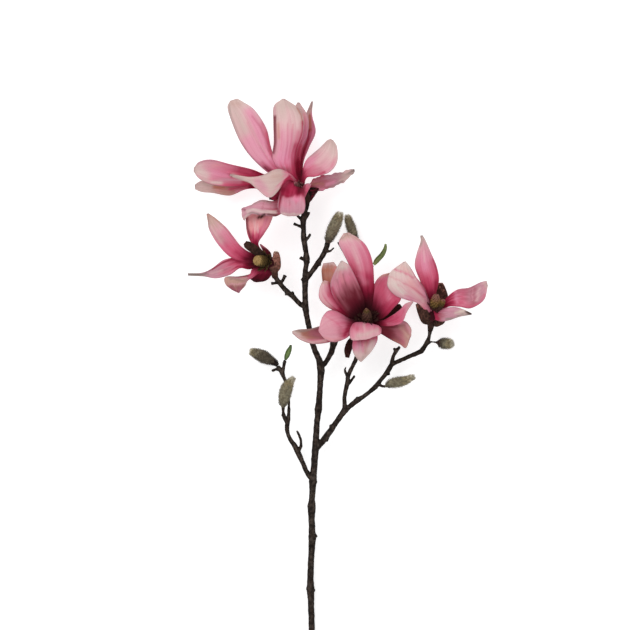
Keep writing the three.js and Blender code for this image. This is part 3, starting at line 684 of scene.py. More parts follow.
class Bench:
    """The node tree of a material or a world, with one method that adds nodes."""

    def __init__(self, name: str, world: bpy.types.World | None = None) -> None:
        """Starts with an empty tree.

        Args:
            name: the new material's name.
            world: the world to light instead of making a material.
        """
        self.material = world or bpy.data.materials.new(name)
        self.material.use_nodes = True
        self.tree = self.material.node_tree
        self.tree.nodes.clear()

    def node(
        self, kind: str, settings: dict[str, object] | None = None, *inputs: object, **named: object
    ) -> Flow:
        """Adds a node.

        Args:
            kind: the node's type, without the ShaderNode that each begins with.
            settings: its own options, set first.
            inputs: values or flows for its first sockets, in order.
            named: values or flows for sockets by name, with _ for a space.

        Returns:
            The node's first output that is in use.
        """
        node = self.tree.nodes.new("ShaderNode" + kind)
        for key, value in (settings or {}).items():
            setattr(node, key, value)
        sockets = [socket for socket in node.inputs if socket.enabled]
        for socket, value in zip(sockets, inputs):
            self.feed(socket, value)
        for key, value in named.items():
            wanted = key.replace("_", " ")
            self.feed(next(socket for socket in sockets if socket.name == wanted), value)
        return Flow(self, next((socket for socket in node.outputs if socket.enabled), None))

    def feed(self, socket: bpy.types.NodeSocket, value: object) -> None:
        """Feeds a socket.

        Args:
            socket: the socket to feed.
            value: a flow to link to it, or the value to set on it.
        """
        if isinstance(value, Flow):
            self.tree.links.new(value.socket, socket)
        elif value is not None:
            socket.default_value = value

    def output(self, flow: Flow, name: str) -> Flow:
        """Picks another output of a flow's node by its name."""
        return Flow(self, flow.socket.node.outputs[name])

    def mark(self, name: str, output: str = "Color") -> Flow:
        """Reads an attribute of the mesh."""
        return self.output(self.node("Attribute", {"attribute_name": name}), output)

    def spots(self) -> Flow:
        """Reads the place on the object."""
        return self.output(self.node("TexCoord"), "Object")

    def shares(self) -> tuple[Flow, Flow]:
        """Reads the shares across and along from the piece's map."""
        across = self.node("SeparateXYZ", {}, self.node("UVMap", {"uv_map": "UVMap"}))
        return across, self.output(across, "Y")

    def blend(self, kind: str, share: object, first: object, second: object) -> Flow:
        """Mixes two colours."""
        settings = {"data_type": "RGBA", "blend_type": kind}
        return self.node("Mix", settings, share, first, second)

    def noise(self, vector: Flow, scale: float, detail: float = 3.0, roughness: float = 0.55) -> Flow:
        """Adds a noise pattern of values."""
        named = {"Vector": vector, "Scale": scale, "Detail": detail, "Roughness": roughness}
        return self.node("TexNoise", {"noise_dimensions": "3D"}, **named)

    def steps(
        self, value: Flow, low: float, high: float, to_low: float = 0.0, to_high: float = 1.0
    ) -> Flow:
        """Maps a range of values smoothly to another."""
        ends = (low, high, to_low, to_high)
        return self.node("MapRange", {"interpolation_type": "SMOOTHSTEP"}, value, *ends)

    def dress(
        self, colour: object, roughness: object, height: Flow | None, depth: float, **constants: object
    ) -> bpy.types.Material:
        """Ends the tree with the surface shader.

        Args:
            colour: the base colour.
            roughness: the roughness.
            height: the relief, or None for a smooth surface.
            depth: how deep the relief is, in metres.
            constants: values for the shader's other sockets, with _ for a space.

        Returns:
            The finished material.
        """
        named: dict[str, object] = {"Base_Color": colour, "Roughness": roughness, **constants}
        if height is not None:
            relief = {"Strength": 1.0, "Distance": depth, "Height": height}
            named["Normal"] = self.node("Bump", {}, **relief)
        shader = self.node("BsdfPrincipled", {}, **named)
        self.node("OutputMaterial", {}, shader)
        return self.material


@dataclass(frozen=True)
class TepalFinish:
    """Soft, veined tepal skin that takes its colour from the tints on the mesh."""

    veins: float = 18.0
    flush: Colour = (0.84, 0.62, 0.69, 1.0)
    speck: Colour = (0.72, 0.6, 0.6, 1.0)
    roughness: float = 0.6

    def material(self) -> bpy.types.Material:
        """Builds the material: tint, darker veins along the tepal, mottling and fine relief."""
        bench = Bench("tepal_skin")
        tint, strain = bench.mark("tint"), bench.mark("strain", "Fac")
        across, along = bench.shares()
        lines = bench.node("CombineXYZ", {}, across * self.veins, along * 1.3, strain * 37.0)
        veins = bench.steps(bench.noise(lines, 1.0, 4.0, 0.6), 0.38, 0.68)
        spots = bench.spots()
        mottle = bench.noise(spots, 420.0, 2.0)
        flushed = bench.blend("MULTIPLY", veins * 0.34, tint, self.flush)
        specks = bench.steps(bench.noise(spots, 900.0, 3.0, 0.7), 0.45, 0.75, 0.0, 0.22)
        colour = bench.blend("MULTIPLY", specks, flushed, self.speck)
        height = veins * 0.6 + mottle * 0.3
        rough = self.roughness + mottle * 0.16
        return bench.dress(colour, rough, height, 0.00024, Specular_IOR_Level=0.06, Sheen_Weight=0.02)


@dataclass(frozen=True)
class FeltFinish:
    """A short nap with its colour from the tints: bracts, stamens, buds and hairs."""

    name: str
    roughness: float
    grit: float
    depth: float
    sheen: float
    # strength of the pale spots, painted highlights on the raised nap
    nap_highlight: float = 0.06

    def material(self) -> bpy.types.Material:
        """Builds the material: tint, painted shade in the pits, painted highlights on the nap and a napped
        relief.
        """
        bench = Bench(self.name)
        tint = bench.mark("tint")
        spots = bench.spots()
        fine = bench.noise(spots, self.grit, 4.0, 0.65)
        # painted shade in the pits of the nap
        pits = bench.steps(bench.noise(spots, self.grit * 0.35, 3.0), 0.38, 0.62)
        shaded = bench.blend("MULTIPLY", pits * 0.6, tint, (0.42, 0.36, 0.33, 1.0))
        # pale spots on the raised nap, painted highlights
        nap_highlights = bench.steps(fine, 0.55, 0.78, 0.0, self.nap_highlight)
        colour = bench.blend("SCREEN", nap_highlights, shaded, (0.5, 0.42, 0.34, 1.0))
        height = fine * 0.8 + pits * 0.4
        rough = self.roughness + fine * 0.12
        gloss = {"Specular_IOR_Level": 0.1, "Sheen_Weight": self.sheen}
        return bench.dress(colour, rough, height, self.depth, **gloss)


@dataclass(frozen=True)
class BarkFinish:
    """Dark twig bark with long cracks, dusty patches, pale pores and a painted highlight along its upper
    side.
    """

    deep: Colour = (0.0058, 0.0031, 0.0021, 1.0)
    worn: Colour = (0.038, 0.0225, 0.015, 1.0)
    pore: Colour = (0.12, 0.092, 0.07, 1.0)
    # colour of the painted highlight on the upper side
    top_highlight: Colour = (0.088, 0.068, 0.056, 1.0)

    def material(self) -> bpy.types.Material:
        """Builds the material from object coordinates, and from the pores and the painted top highlight
        marked on the mesh.
        """
        bench = Bench("twig_bark")
        spots = bench.spots()
        pores, top_highlights = bench.mark("pore", "Fac"), bench.mark("top_highlight", "Fac")
        stretch = bench.node("Mapping", {"vector_type": "POINT"}, spots, Scale=(1.0, 0.3, 1.0))
        cracks = bench.noise(stretch, 560.0, 5.0, 0.65)
        dust = bench.steps(bench.noise(spots, 260.0, 3.0), 0.4, 0.62)
        wear = bench.steps(cracks, 0.42, 0.64) * (0.2 + 0.8 * dust)
        colour = bench.blend("MIX", wear, self.deep, self.worn)
        # painted highlight on the upper side, stronger on the dusty patches
        colour = bench.blend("MIX", top_highlights * (0.15 + 0.6 * dust), colour, self.top_highlight)
        colour = bench.blend("MIX", pores * 0.7, colour, self.pore)
        rough = 0.66 + cracks * 0.25
        height = cracks + pores * 0.5
        return bench.dress(colour, rough, height, 0.0005, Specular_IOR_Level=0.14)


@dataclass(frozen=True)
class TableFinish:
    """A plain matt tabletop."""

    colour: Colour = (0.6, 0.6, 0.6, 1.0)
    glow: float = 0.62

    def material(self) -> bpy.types.Material:
        """Builds the material, lit a little from within like a light table."""
        bench = Bench("pale_table")
        lit = {"Emission_Color": (1.0, 1.0, 1.0, 1.0), "Emission_Strength": self.glow}
        return bench.dress(self.colour, 0.9, None, 0.0, Specular_IOR_Level=0.05, **lit)


@dataclass(frozen=True)
class LeafFinish:
    """Young leaf skin with a midrib, side veins and painted shade towards its margins."""

    roughness: float = 0.45

    def material(self) -> bpy.types.Material:
        """Builds the material from the tints and the leaf's own map."""
        bench = Bench("young_leaf")
        across, along = bench.shares()
        aside = bench.node("Math", {"operation": "ABSOLUTE"}, across - 0.5)
        rib = 1.0 - bench.steps(aside, 0.01, 0.09)
        wave = bench.node("Math", {"operation": "SINE"}, along * 58.0 - aside * 46.0)
        side_veins = bench.steps(wave, 0.55, 1.0)
        mottle = bench.noise(bench.spots(), 700.0, 3.0)
        # painted shade, darker towards both margins of the folded leaf
        shade = bench.steps(aside, 0.16, 0.5) * 0.8
        colour = bench.blend("MULTIPLY", shade, bench.mark("tint"), (0.34, 0.4, 0.3, 1.0))
        colour = bench.blend("MIX", rib * 0.5 + side_veins * 0.16, colour, (0.3, 0.36, 0.17, 1.0))
        height = rib + side_veins * 0.4 + mottle * 0.25
        return bench.dress(colour, self.roughness + mottle * 0.12, height, 0.0002, Specular_IOR_Level=0.4)


# --------------------------------------------- the blooms


Palette = dict[str, bpy.types.Material]


def shade(tones: Ramp, along: Array) -> Array:
    """Runs through tones.

    Args:
        tones: pairs of a share along and the tone there.
        along: the shares to colour.

    Returns:
        Rows of linear red, green and blue.
    """
    stops = [stop for stop, _ in tones]
    lights = np.array([tone.light for _, tone in tones])
    return np.column_stack([np.interp(along, stops, lights[:, i]) for i in range(3)])


@dataclass(frozen=True)
class Tepal(Blade):
    """One tepal: a blade with its tones from root to tip, and brush strokes over them, some of them painted
    shade and painted highlights.
    """

    tones: Ramp = ()
    strokes: tuple[Dab, ...] = ()
    # how strongly the bloom's painted throat shade lies on this tepal
    depth: float = 1.0

    COLUMNS = 30
    ROWS = 76
    THICKNESS = 0.7  # in millimetres
    STREAK = 0.06  # how far streaks shift the tones along
    OUTSIDE = ((0.0, WINE), (0.2, CERISE), (0.6, PINK), (1.0, BLUSH))
    OUTSIDE_SHARE = 0.45  # how strongly the outside takes its own tones

    def tint(self, piece: Piece, seed: int, deep: Sequence[Stroke]) -> Array:
        """Colours each face corner of the built tepal.

        Args:
            piece: the tepal's mesh.
            seed: chooses the streaks.
            deep: the strokes of painted shade deep in the bloom's throat, over all.

        Returns:
            Rows of linear red, green and blue.
        """
        across, along = Shop.corners(piece)
        marks = Sheet.marks(Shop.points(piece))[Shop.corner_points(piece)]
        streaks = grain(across * 9, along * 2.2, seed) + 0.6 * grain(across * 21, along * 3, seed + 1)
        fibres = grain(across * 26, along * 2.6, seed + 4)
        stations = along + self.STREAK * streaks
        colours = shade(self.tones, stations)
        unrest = 0.8 * np.column_stack([grain(across * 12, along * 5, seed + i) for i in (2, 3)])
        for stroke in (Stroke(*dab) for dab in self.strokes):
            cover = np.clip(stroke.cover(marks + unrest) * (1 + 0.3 * fibres), 0, 1)[:, None]
            colours = colours * (1 - cover) + stroke.tone.light * cover
        # painted shade: the thin margins and the very tip of each tepal are greyed and darkened
        margin = ease((np.abs(2 * across - 1) - 0.91) / 0.09) * ease((along - 0.2) / 0.3)
        margin = 0.6 * np.clip(margin + ease((along - 0.97) / 0.03), 0, 1)[:, None]
        # painted shade deep in the bloom's throat, over the dark crimson roots; it also clears the painted
        # edge shade
        for stroke in deep:
            shadow = self.depth * stroke.cover(marks + 0.4 * unrest) * (1 + 0.15 * fibres)
            cover = np.clip(shadow, 0, 1)[:, None]
            colours = colours * (1 - cover) + stroke.tone.light * cover
            margin = margin * (1 - cover)
        colours = colours * (1 - margin) + (0.35 * colours + 0.65 * EDGE_SHADE.light) * margin
        corners = self.COLUMNS * self.ROWS * 4
        behind = slice(corners, 2 * corners)
        outside = shade(self.OUTSIDE, stations[behind])
        colours[behind] += self.OUTSIDE_SHARE * (outside - colours[behind])
        return colours

    def grow(self, name: str, seed: int, deep: Sequence[Stroke]) -> Piece:
        """Makes and tints the tepal.

        Args:
            name: the piece's name.
            seed: chooses the streaks.
            deep: the strokes of painted shade deep in the bloom's throat.

        Returns:
            The tinted tepal.
        """
        piece = self.build(name, self.THICKNESS, self.COLUMNS, self.ROWS)
        Shop.paint(piece, self.tint(piece, seed, deep), (seed * 0.37) % 1)
        return piece


def stained(
    piece: Piece, tones: Ramp, seed: int, spread: float = 0.12, relief: float = 0.3,
    limb: Limb | None = None,
) -> Piece:
    """Tints a piece along its map.

    Args:
        piece: the mesh to tint.
        tones: pairs of a share along and the tone there.
        seed: chooses the unevenness.
        spread: how uneven the tones lie.
        relief: how much lighter and darker the uneven spots are.
        limb: the knobbed limb that the piece was made from, if its knobs are to take a painted highlight on
            top and painted shade between them.

    Returns:
        The same piece.
    """
    across, along = Shop.corners(piece)
    x, y, z = (Shop.points(piece)[Shop.corner_points(piece)] * MM).T
    uneven = 0.65 * grain(x * 0.8 + z * 0.5, y * 0.8, seed)
    uneven += 0.5 * grain(x * 1.9 + z, y * 1.9, seed + 1)
    light = 1 + relief * uneven
    # painted highlight on the knobs' tops and painted shade between them
    if limb is not None:
        light = light * (1 + 0.42 * limb.bump(across, along))
    Shop.paint(piece, shade(tones, along + spread * uneven) * light[:, None], (seed * 0.61) % 1)
    return piece


FELTED = (1.2, 16, 30)  # a felted blade's thickness in millimetres, its columns and its rows


@dataclass(frozen=True)
class Heart:
    """Stamens round the cone of a bloom."""

    cone: Limb
    tones: Ramp
    stamens: int
    length: float
    spread: float
    stamen_tones: Ramp = ((0.0, SOOT), (0.6, DARK), (1.0, UMBER))
    lobes: tuple[Blade, ...] = ()
    knobs: tuple[Limb, ...] = ()

    LOBE_TONES = ((0.0, SOOT), (0.6, UMBER), (1.0, UMBER))
    STOUT = 1.7  # a stamen's width in millimetres
    GOLDEN_TURN = math.pi * (3 - math.sqrt(5))  # from each stamen to the next

    def stamen(self) -> Piece:
        """Models one stamen, 1 long and 1 wide, that bends outwards."""

        def surface(across: Array, along: Array) -> Array:
            """Gives the points of the stamen's skin for shares round it and along it."""
            turn = 2 * np.pi * across
            closing = 0.5 * np.sqrt(np.clip(1 - (2 * along - 1) ** 8, 0, 1))
            radius = closing * (0.55 + 0.45 * np.sin(np.pi * along))
            bow = 0.5 * along**2
            return np.column_stack([radius * np.cos(turn) + bow, radius * np.sin(turn) * 0.7, along])

        piece = Shop.grid("stamen", 7, 8, surface)
        Shop.weld(piece, 1e-4)
        return piece

    def build(self, name: str, seed: int) -> Piece:
        """Makes the cone and its stamens.

        Args:
            name: the piece's name.
            seed: chooses how the stamens lean.

        Returns:
            The heart as one piece.
        """
        dice = np.random.default_rng(seed)
        foot, end = (Sheet.metres([self.cone.path[i][:3]])[0] for i in (0, -1))
        axis = (end - foot) / np.linalg.norm(end - foot)
        first = np.cross(axis, [1.0, 0.3, 0.0])
        first = first / np.linalg.norm(first)
        second = np.cross(axis, first)
        girth = self.cone.path[0][3] / MM
        moves = []
        for i in range(self.stamens):
            turn = i * self.GOLDEN_TURN
            ring = (i % 3) / 2
            lean = self.spread * (0.45 + 0.6 * ring) + dice.uniform(-0.08, 0.08)
            long = self.length / MM * (0.62 + 0.34 * ring) * dice.uniform(0.85, 1.08)
            radial = first * math.cos(turn) + second * math.sin(turn)
            aim = axis * math.cos(lean) + radial * math.sin(lean)
            wide = radial * math.cos(lean) - axis * math.sin(lean)
            deep = np.cross(aim, wide)
            base = foot + radial * girth * (0.55 + 0.25 * ring) + axis * 0.0008
            stout = self.STOUT / MM * dice.uniform(0.8, 1.15)
            moves.append(np.column_stack([wide * stout, deep * stout, aim * long, base]))
        ring = Shop.repeat(f"{name}_stamens", self.stamen(), moves)
        stained(ring, self.stamen_tones, seed, 0.2)
        pieces = [ring]
        for i, cone in enumerate((self.cone, *self.knobs)):
            skin = cone.build(f"{name}_cone_{i}", 56, 60)
            # the cones get a painted highlight on their knobs and painted shade between them
            pieces.append(stained(skin, self.tones, seed + 5 + i, 0.06, 0.3, cone))
        for i, lobe in enumerate(self.lobes):
            blade = lobe.build(f"{name}_lobe_{i}", *FELTED)
            pieces.append(stained(blade, self.LOBE_TONES, seed + 9 + i, 0.2, 0.5))
        return Shop.join(name, pieces)


@dataclass(frozen=True)
class Scale(Blade):
    """One felted scale of an opened bud."""

    blunt: float = 5.0


@dataclass(frozen=True)
class Calyx:
    """The neck below a bloom, with the felted scales of its opened bud."""

    neck: Limb
    tones: Ramp
    scales: tuple[Scale, ...]
    neck_tones: Ramp = ((0.0, SOOT), (0.5, UMBER), (1.0, DARK))

    NAP = Fleece(240, 1.5, 0.13, 0.5)

    def build(self, name: str, seed: int) -> Piece:
        """Makes the neck, the scales and their short nap.

        Args:
            name: the piece's name.
            seed: chooses the unevenness and the nap.

        Returns:
            The calyx as one piece.
        """
        pieces = [stained(self.neck.build(f"{name}_neck", 24, 30), self.neck_tones, seed)]
        for i, scale in enumerate(self.scales):
            blade = scale.build(f"{name}_scale_{i}", *FELTED)
            pieces.append(stained(blade, self.tones, seed + i, 0.4, 0.6))
            nap = self.NAP.build(f"{name}_nap_{i}", scale.surface, seed + i, (0.12, 0.97))
            pieces.append(stained(nap, (self.tones[0], (1.0, BRACT)), seed + i))
        return Shop.join(name, pieces)


@dataclass(frozen=True)
class Bloom:
    """An open bloom: tepals in their layers round a heart, over a calyx, with painted shade deep in its
    throat.
    """

    name: str
    receptacle: tuple[float, float, float, float]
    calyx: Calyx
    heart: Heart
    tepals: dict[str, Tepal]
    # strokes of painted shade deep in the throat, laid over every tepal
    deep: tuple[Stroke, ...]

    def petals(self, seed: int) -> Piece:
        """Makes all tepals and the receptacle that they grow from.

        Args:
            seed: chooses the streaks of the first tepal.

        Returns:
            The tepals as one piece.
        """
        x, y, z, radius = self.receptacle
        ball = Limb(((x, y, z - radius, radius * 0.7), (x, y, z, radius), (x, y, z + radius, radius * 0.7)))
        skin = ball.build(f"{self.name}_receptacle", 24, 16)
        pieces = [stained(skin, ((0.0, WINE), (1.0, DARK)), seed)]
        for i, (name, tepal) in enumerate(self.tepals.items()):
            pieces.append(tepal.grow(f"{self.name}_{name}", seed + 11 * i, self.deep))
        return Shop.join(f"{self.name}_skin", pieces)

    def dress(self, finishes: Palette, seed: int) -> None:
        """Builds the bloom's pieces and puts them in the place of its solids.

        Args:
            finishes: the material for each slot.
            seed: chooses the bloom's patterns.
        """
        bracts = (self.calyx.build, "bracts", "calyx", seed + 3)
        stamens = (self.heart.build, "stamens", "heart", seed + 7)
        put(self.petals(seed), f"{self.name}_tepals", "tepal", finishes)
        for build, name, slot, own_seed in (bracts, stamens):
            put(build(f"{self.name}_{name}", own_seed), f"{self.name}_{slot}", slot, finishes)


def put(piece: Piece, node: str, slot: str, finishes: Palette) -> None:
    """Gives a finished piece its material and sets it in the place of a solid, above the table.

    Args:
        piece: the finished piece.
        node: the solid that it stands for.
        slot: the record's slot for its finish.
        finishes: the material for each slot.
    """
    points = Shop.points(piece)
    points[:, 2] = np.maximum(points[:, 2], 0)
    Shop.place(piece, points)
    piece.data.materials.clear()
    piece.data.materials.append(finishes[slot])
    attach(piece, "root")
    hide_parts(node)
    log.info("%s: %d faces for %s", piece.name, len(piece.data.polygons), node)


@dataclass(frozen=True)
class Bud:
    """A closed winter bud in its felted scale."""

    name: str
    tones: Ramp
    body: Limb

    DOWN_COAT = Fleece(2600, 2.8, 0.13, 0.95)

    def dress(self, finishes: Palette, seed: int) -> None:
        """Builds the bud with its down and sets it in the place of its solid.

        Args:
            finishes: the material for each slot.
            seed: chooses the unevenness and the down.
        """
        skin = stained(self.body.build(f"{self.name}_skin", 40, 56), self.tones, seed)
        down = self.DOWN_COAT.build(f"{self.name}_down", self.body.surface, seed, (0.08, 0.9))
        stained(down, self.tones, seed, relief=0.5)
        put(Shop.join(f"{self.name}_felt", [skin, down]), self.name, "bud", finishes)


@dataclass(frozen=True)
class Leaf:
    """A young leaf, folded a little along its midrib."""

    name: str
    tones: Ramp
    shape: Blade

    def dress(self, finishes: Palette, seed: int) -> None:
        """Builds the leaf and sets it in the place of its solid."""
        piece = stained(self.shape.build(f"{self.name}_blade", 0.7, 20, 44), self.tones, seed, 0.08)
        put(Shop.join(f"{self.name}_skin", [piece]), self.name, "leaf", finishes)


@dataclass(frozen=True)
class Wood:
    """The stem and its twigs: the solid's own form with the relief of bark."""

    node: str = "branch"
    cell: float = 0.00062
    pores: int = 900
    pore_radius: float = 0.0005
    seed: int = 41

    def dress(self, finishes: Palette) -> None:
        """Builds the bark over the solid's form and sets it in the solid's place.

        Args:
            finishes: the material for each slot.
        """
        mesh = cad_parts[self.node].data.copy()
        piece = bpy.data.objects.new("branch_bark", mesh)
        bpy.context.scene.collection.objects.link(piece)
        Shop.weld(piece)
        Shop.finish(piece, "REMESH", mode="VOXEL", voxel_size=self.cell)
        Shop.finish(piece, "SMOOTH", factor=0.5, iterations=4)
        self.roughen(piece)
        put(Shop.join("branch_bark", [piece]), self.node, "bark", finishes)

    def roughen(self, piece: Piece) -> None:
        """Raises ridges and pores on the bark, and marks the pores and the painted highlight on the upper
        side.

        Args:
            piece: the smoothed skin of the wood.
        """
        points = Shop.points(piece)
        out = np.empty(len(points) * 3, np.float32)
        piece.data.vertices.foreach_get("normal", out)
        out = out.reshape(-1, 3)
        dice = np.random.default_rng(self.seed)
        tree = kdtree.KDTree(self.pores)
        for i, pick in enumerate(dice.choice(len(points), self.pores, replace=False)):
            tree.insert(points[pick], i)
        tree.balance()
        away = np.array([tree.find(point)[2] for point in points])
        pore = ease(1 - away / self.pore_radius)
        lump, ridge, knot = (
            np.array([noise.noise(Vector(place)) for place in points * scale + (0, 0, shift)])
            for scale, shift in ((260, 0), ((1400, 380, 1400), 0), ((330, 230, 330), 9))
        )
        lift = 0.0002 + 0.0002 * lump + 0.00013 * ridge + 0.00016 * pore + 0.00022 * knot
        Shop.place(piece, points + out * lift[:, None])
        # painted highlight: bark that faces up is marked to be lighter, most of all on the knots
        top_highlight = np.clip(out[:, 2], 0, 1) ** 5 * np.clip(0.7 + 1.2 * knot, 0, 1)
        for name, share in (("pore", pore), ("top_highlight", top_highlight)):
            mark = piece.data.attributes.new(name, "FLOAT", "POINT")
            mark.data.foreach_set("value", share.astype(np.float32))


@dataclass(frozen=True)
class Studio:
    """A pale table under soft light, with the camera straight above."""

    table: float = 14.0
    above: float = 1.6
    aim: tuple[float, float] = (-0.023, 0.0645)
    sight: float = 0.63
    glow: float = 0.58
    target: Place = (0.0, 0.05, 0.03)

    def lamp(self, name: str, place: Place, size: float, power: float) -> None:
        """Adds a soft square light that points at the branch.

        Args:
            name: the light's name.
            place: its middle, in metres.
            size: the length of a side, in metres.
            power: in watts.
        """
        light = bpy.data.lights.new(name, "AREA")
        light.size, light.energy = size, power
        holder = bpy.data.objects.new(name, light)
        bpy.context.scene.collection.objects.link(holder)
        holder.location = place
        sight = Vector(self.target) - Vector(place)
        holder.rotation_euler = sight.to_track_quat("-Z", "Y").to_euler()

    def build(self) -> None:
        """Sets up the table, the lights and the camera."""
        Shop.grid("table", 2, 2, lambda across, along: self.top(across, along))
        table = bpy.context.active_object
        table.data.materials.append(TableFinish().material())
        self.lamp("key", (-0.9, 1.0, 1.9), 1.5, 27.0)
        self.lamp("fill", (1.2, -0.7, 1.6), 1.8, 9.0)
        scene = bpy.context.scene
        world = bpy.data.worlds.new("bright_room")
        bench = Bench("bright_room", world)
        plain = bench.output(bench.node("LightPath"), "Is Camera Ray")
        strength = bench.node("Math", {"operation": "MAXIMUM"}, plain, self.glow)
        backdrop = bench.node("Background", {}, (1, 1, 1, 1), strength)
        bench.node("OutputWorld", {}, backdrop)
        scene.world = world
        scene.view_settings.view_transform = "Standard"
        view = bpy.data.cameras.new("camera")
        view.type = "ORTHO"
        view.ortho_scale = self.sight
        camera = bpy.data.objects.new("camera", view)
        scene.collection.objects.link(camera)
        camera.location = (*self.aim, self.above)
        scene.camera = camera

    def top(self, across: Array, along: Array) -> Array:
        """Gives the points of the tabletop."""
        return np.column_stack([(across - 0.5) * self.table, (along - 0.5) * self.table, 0 * across])


# --------------------------------------------- the branch

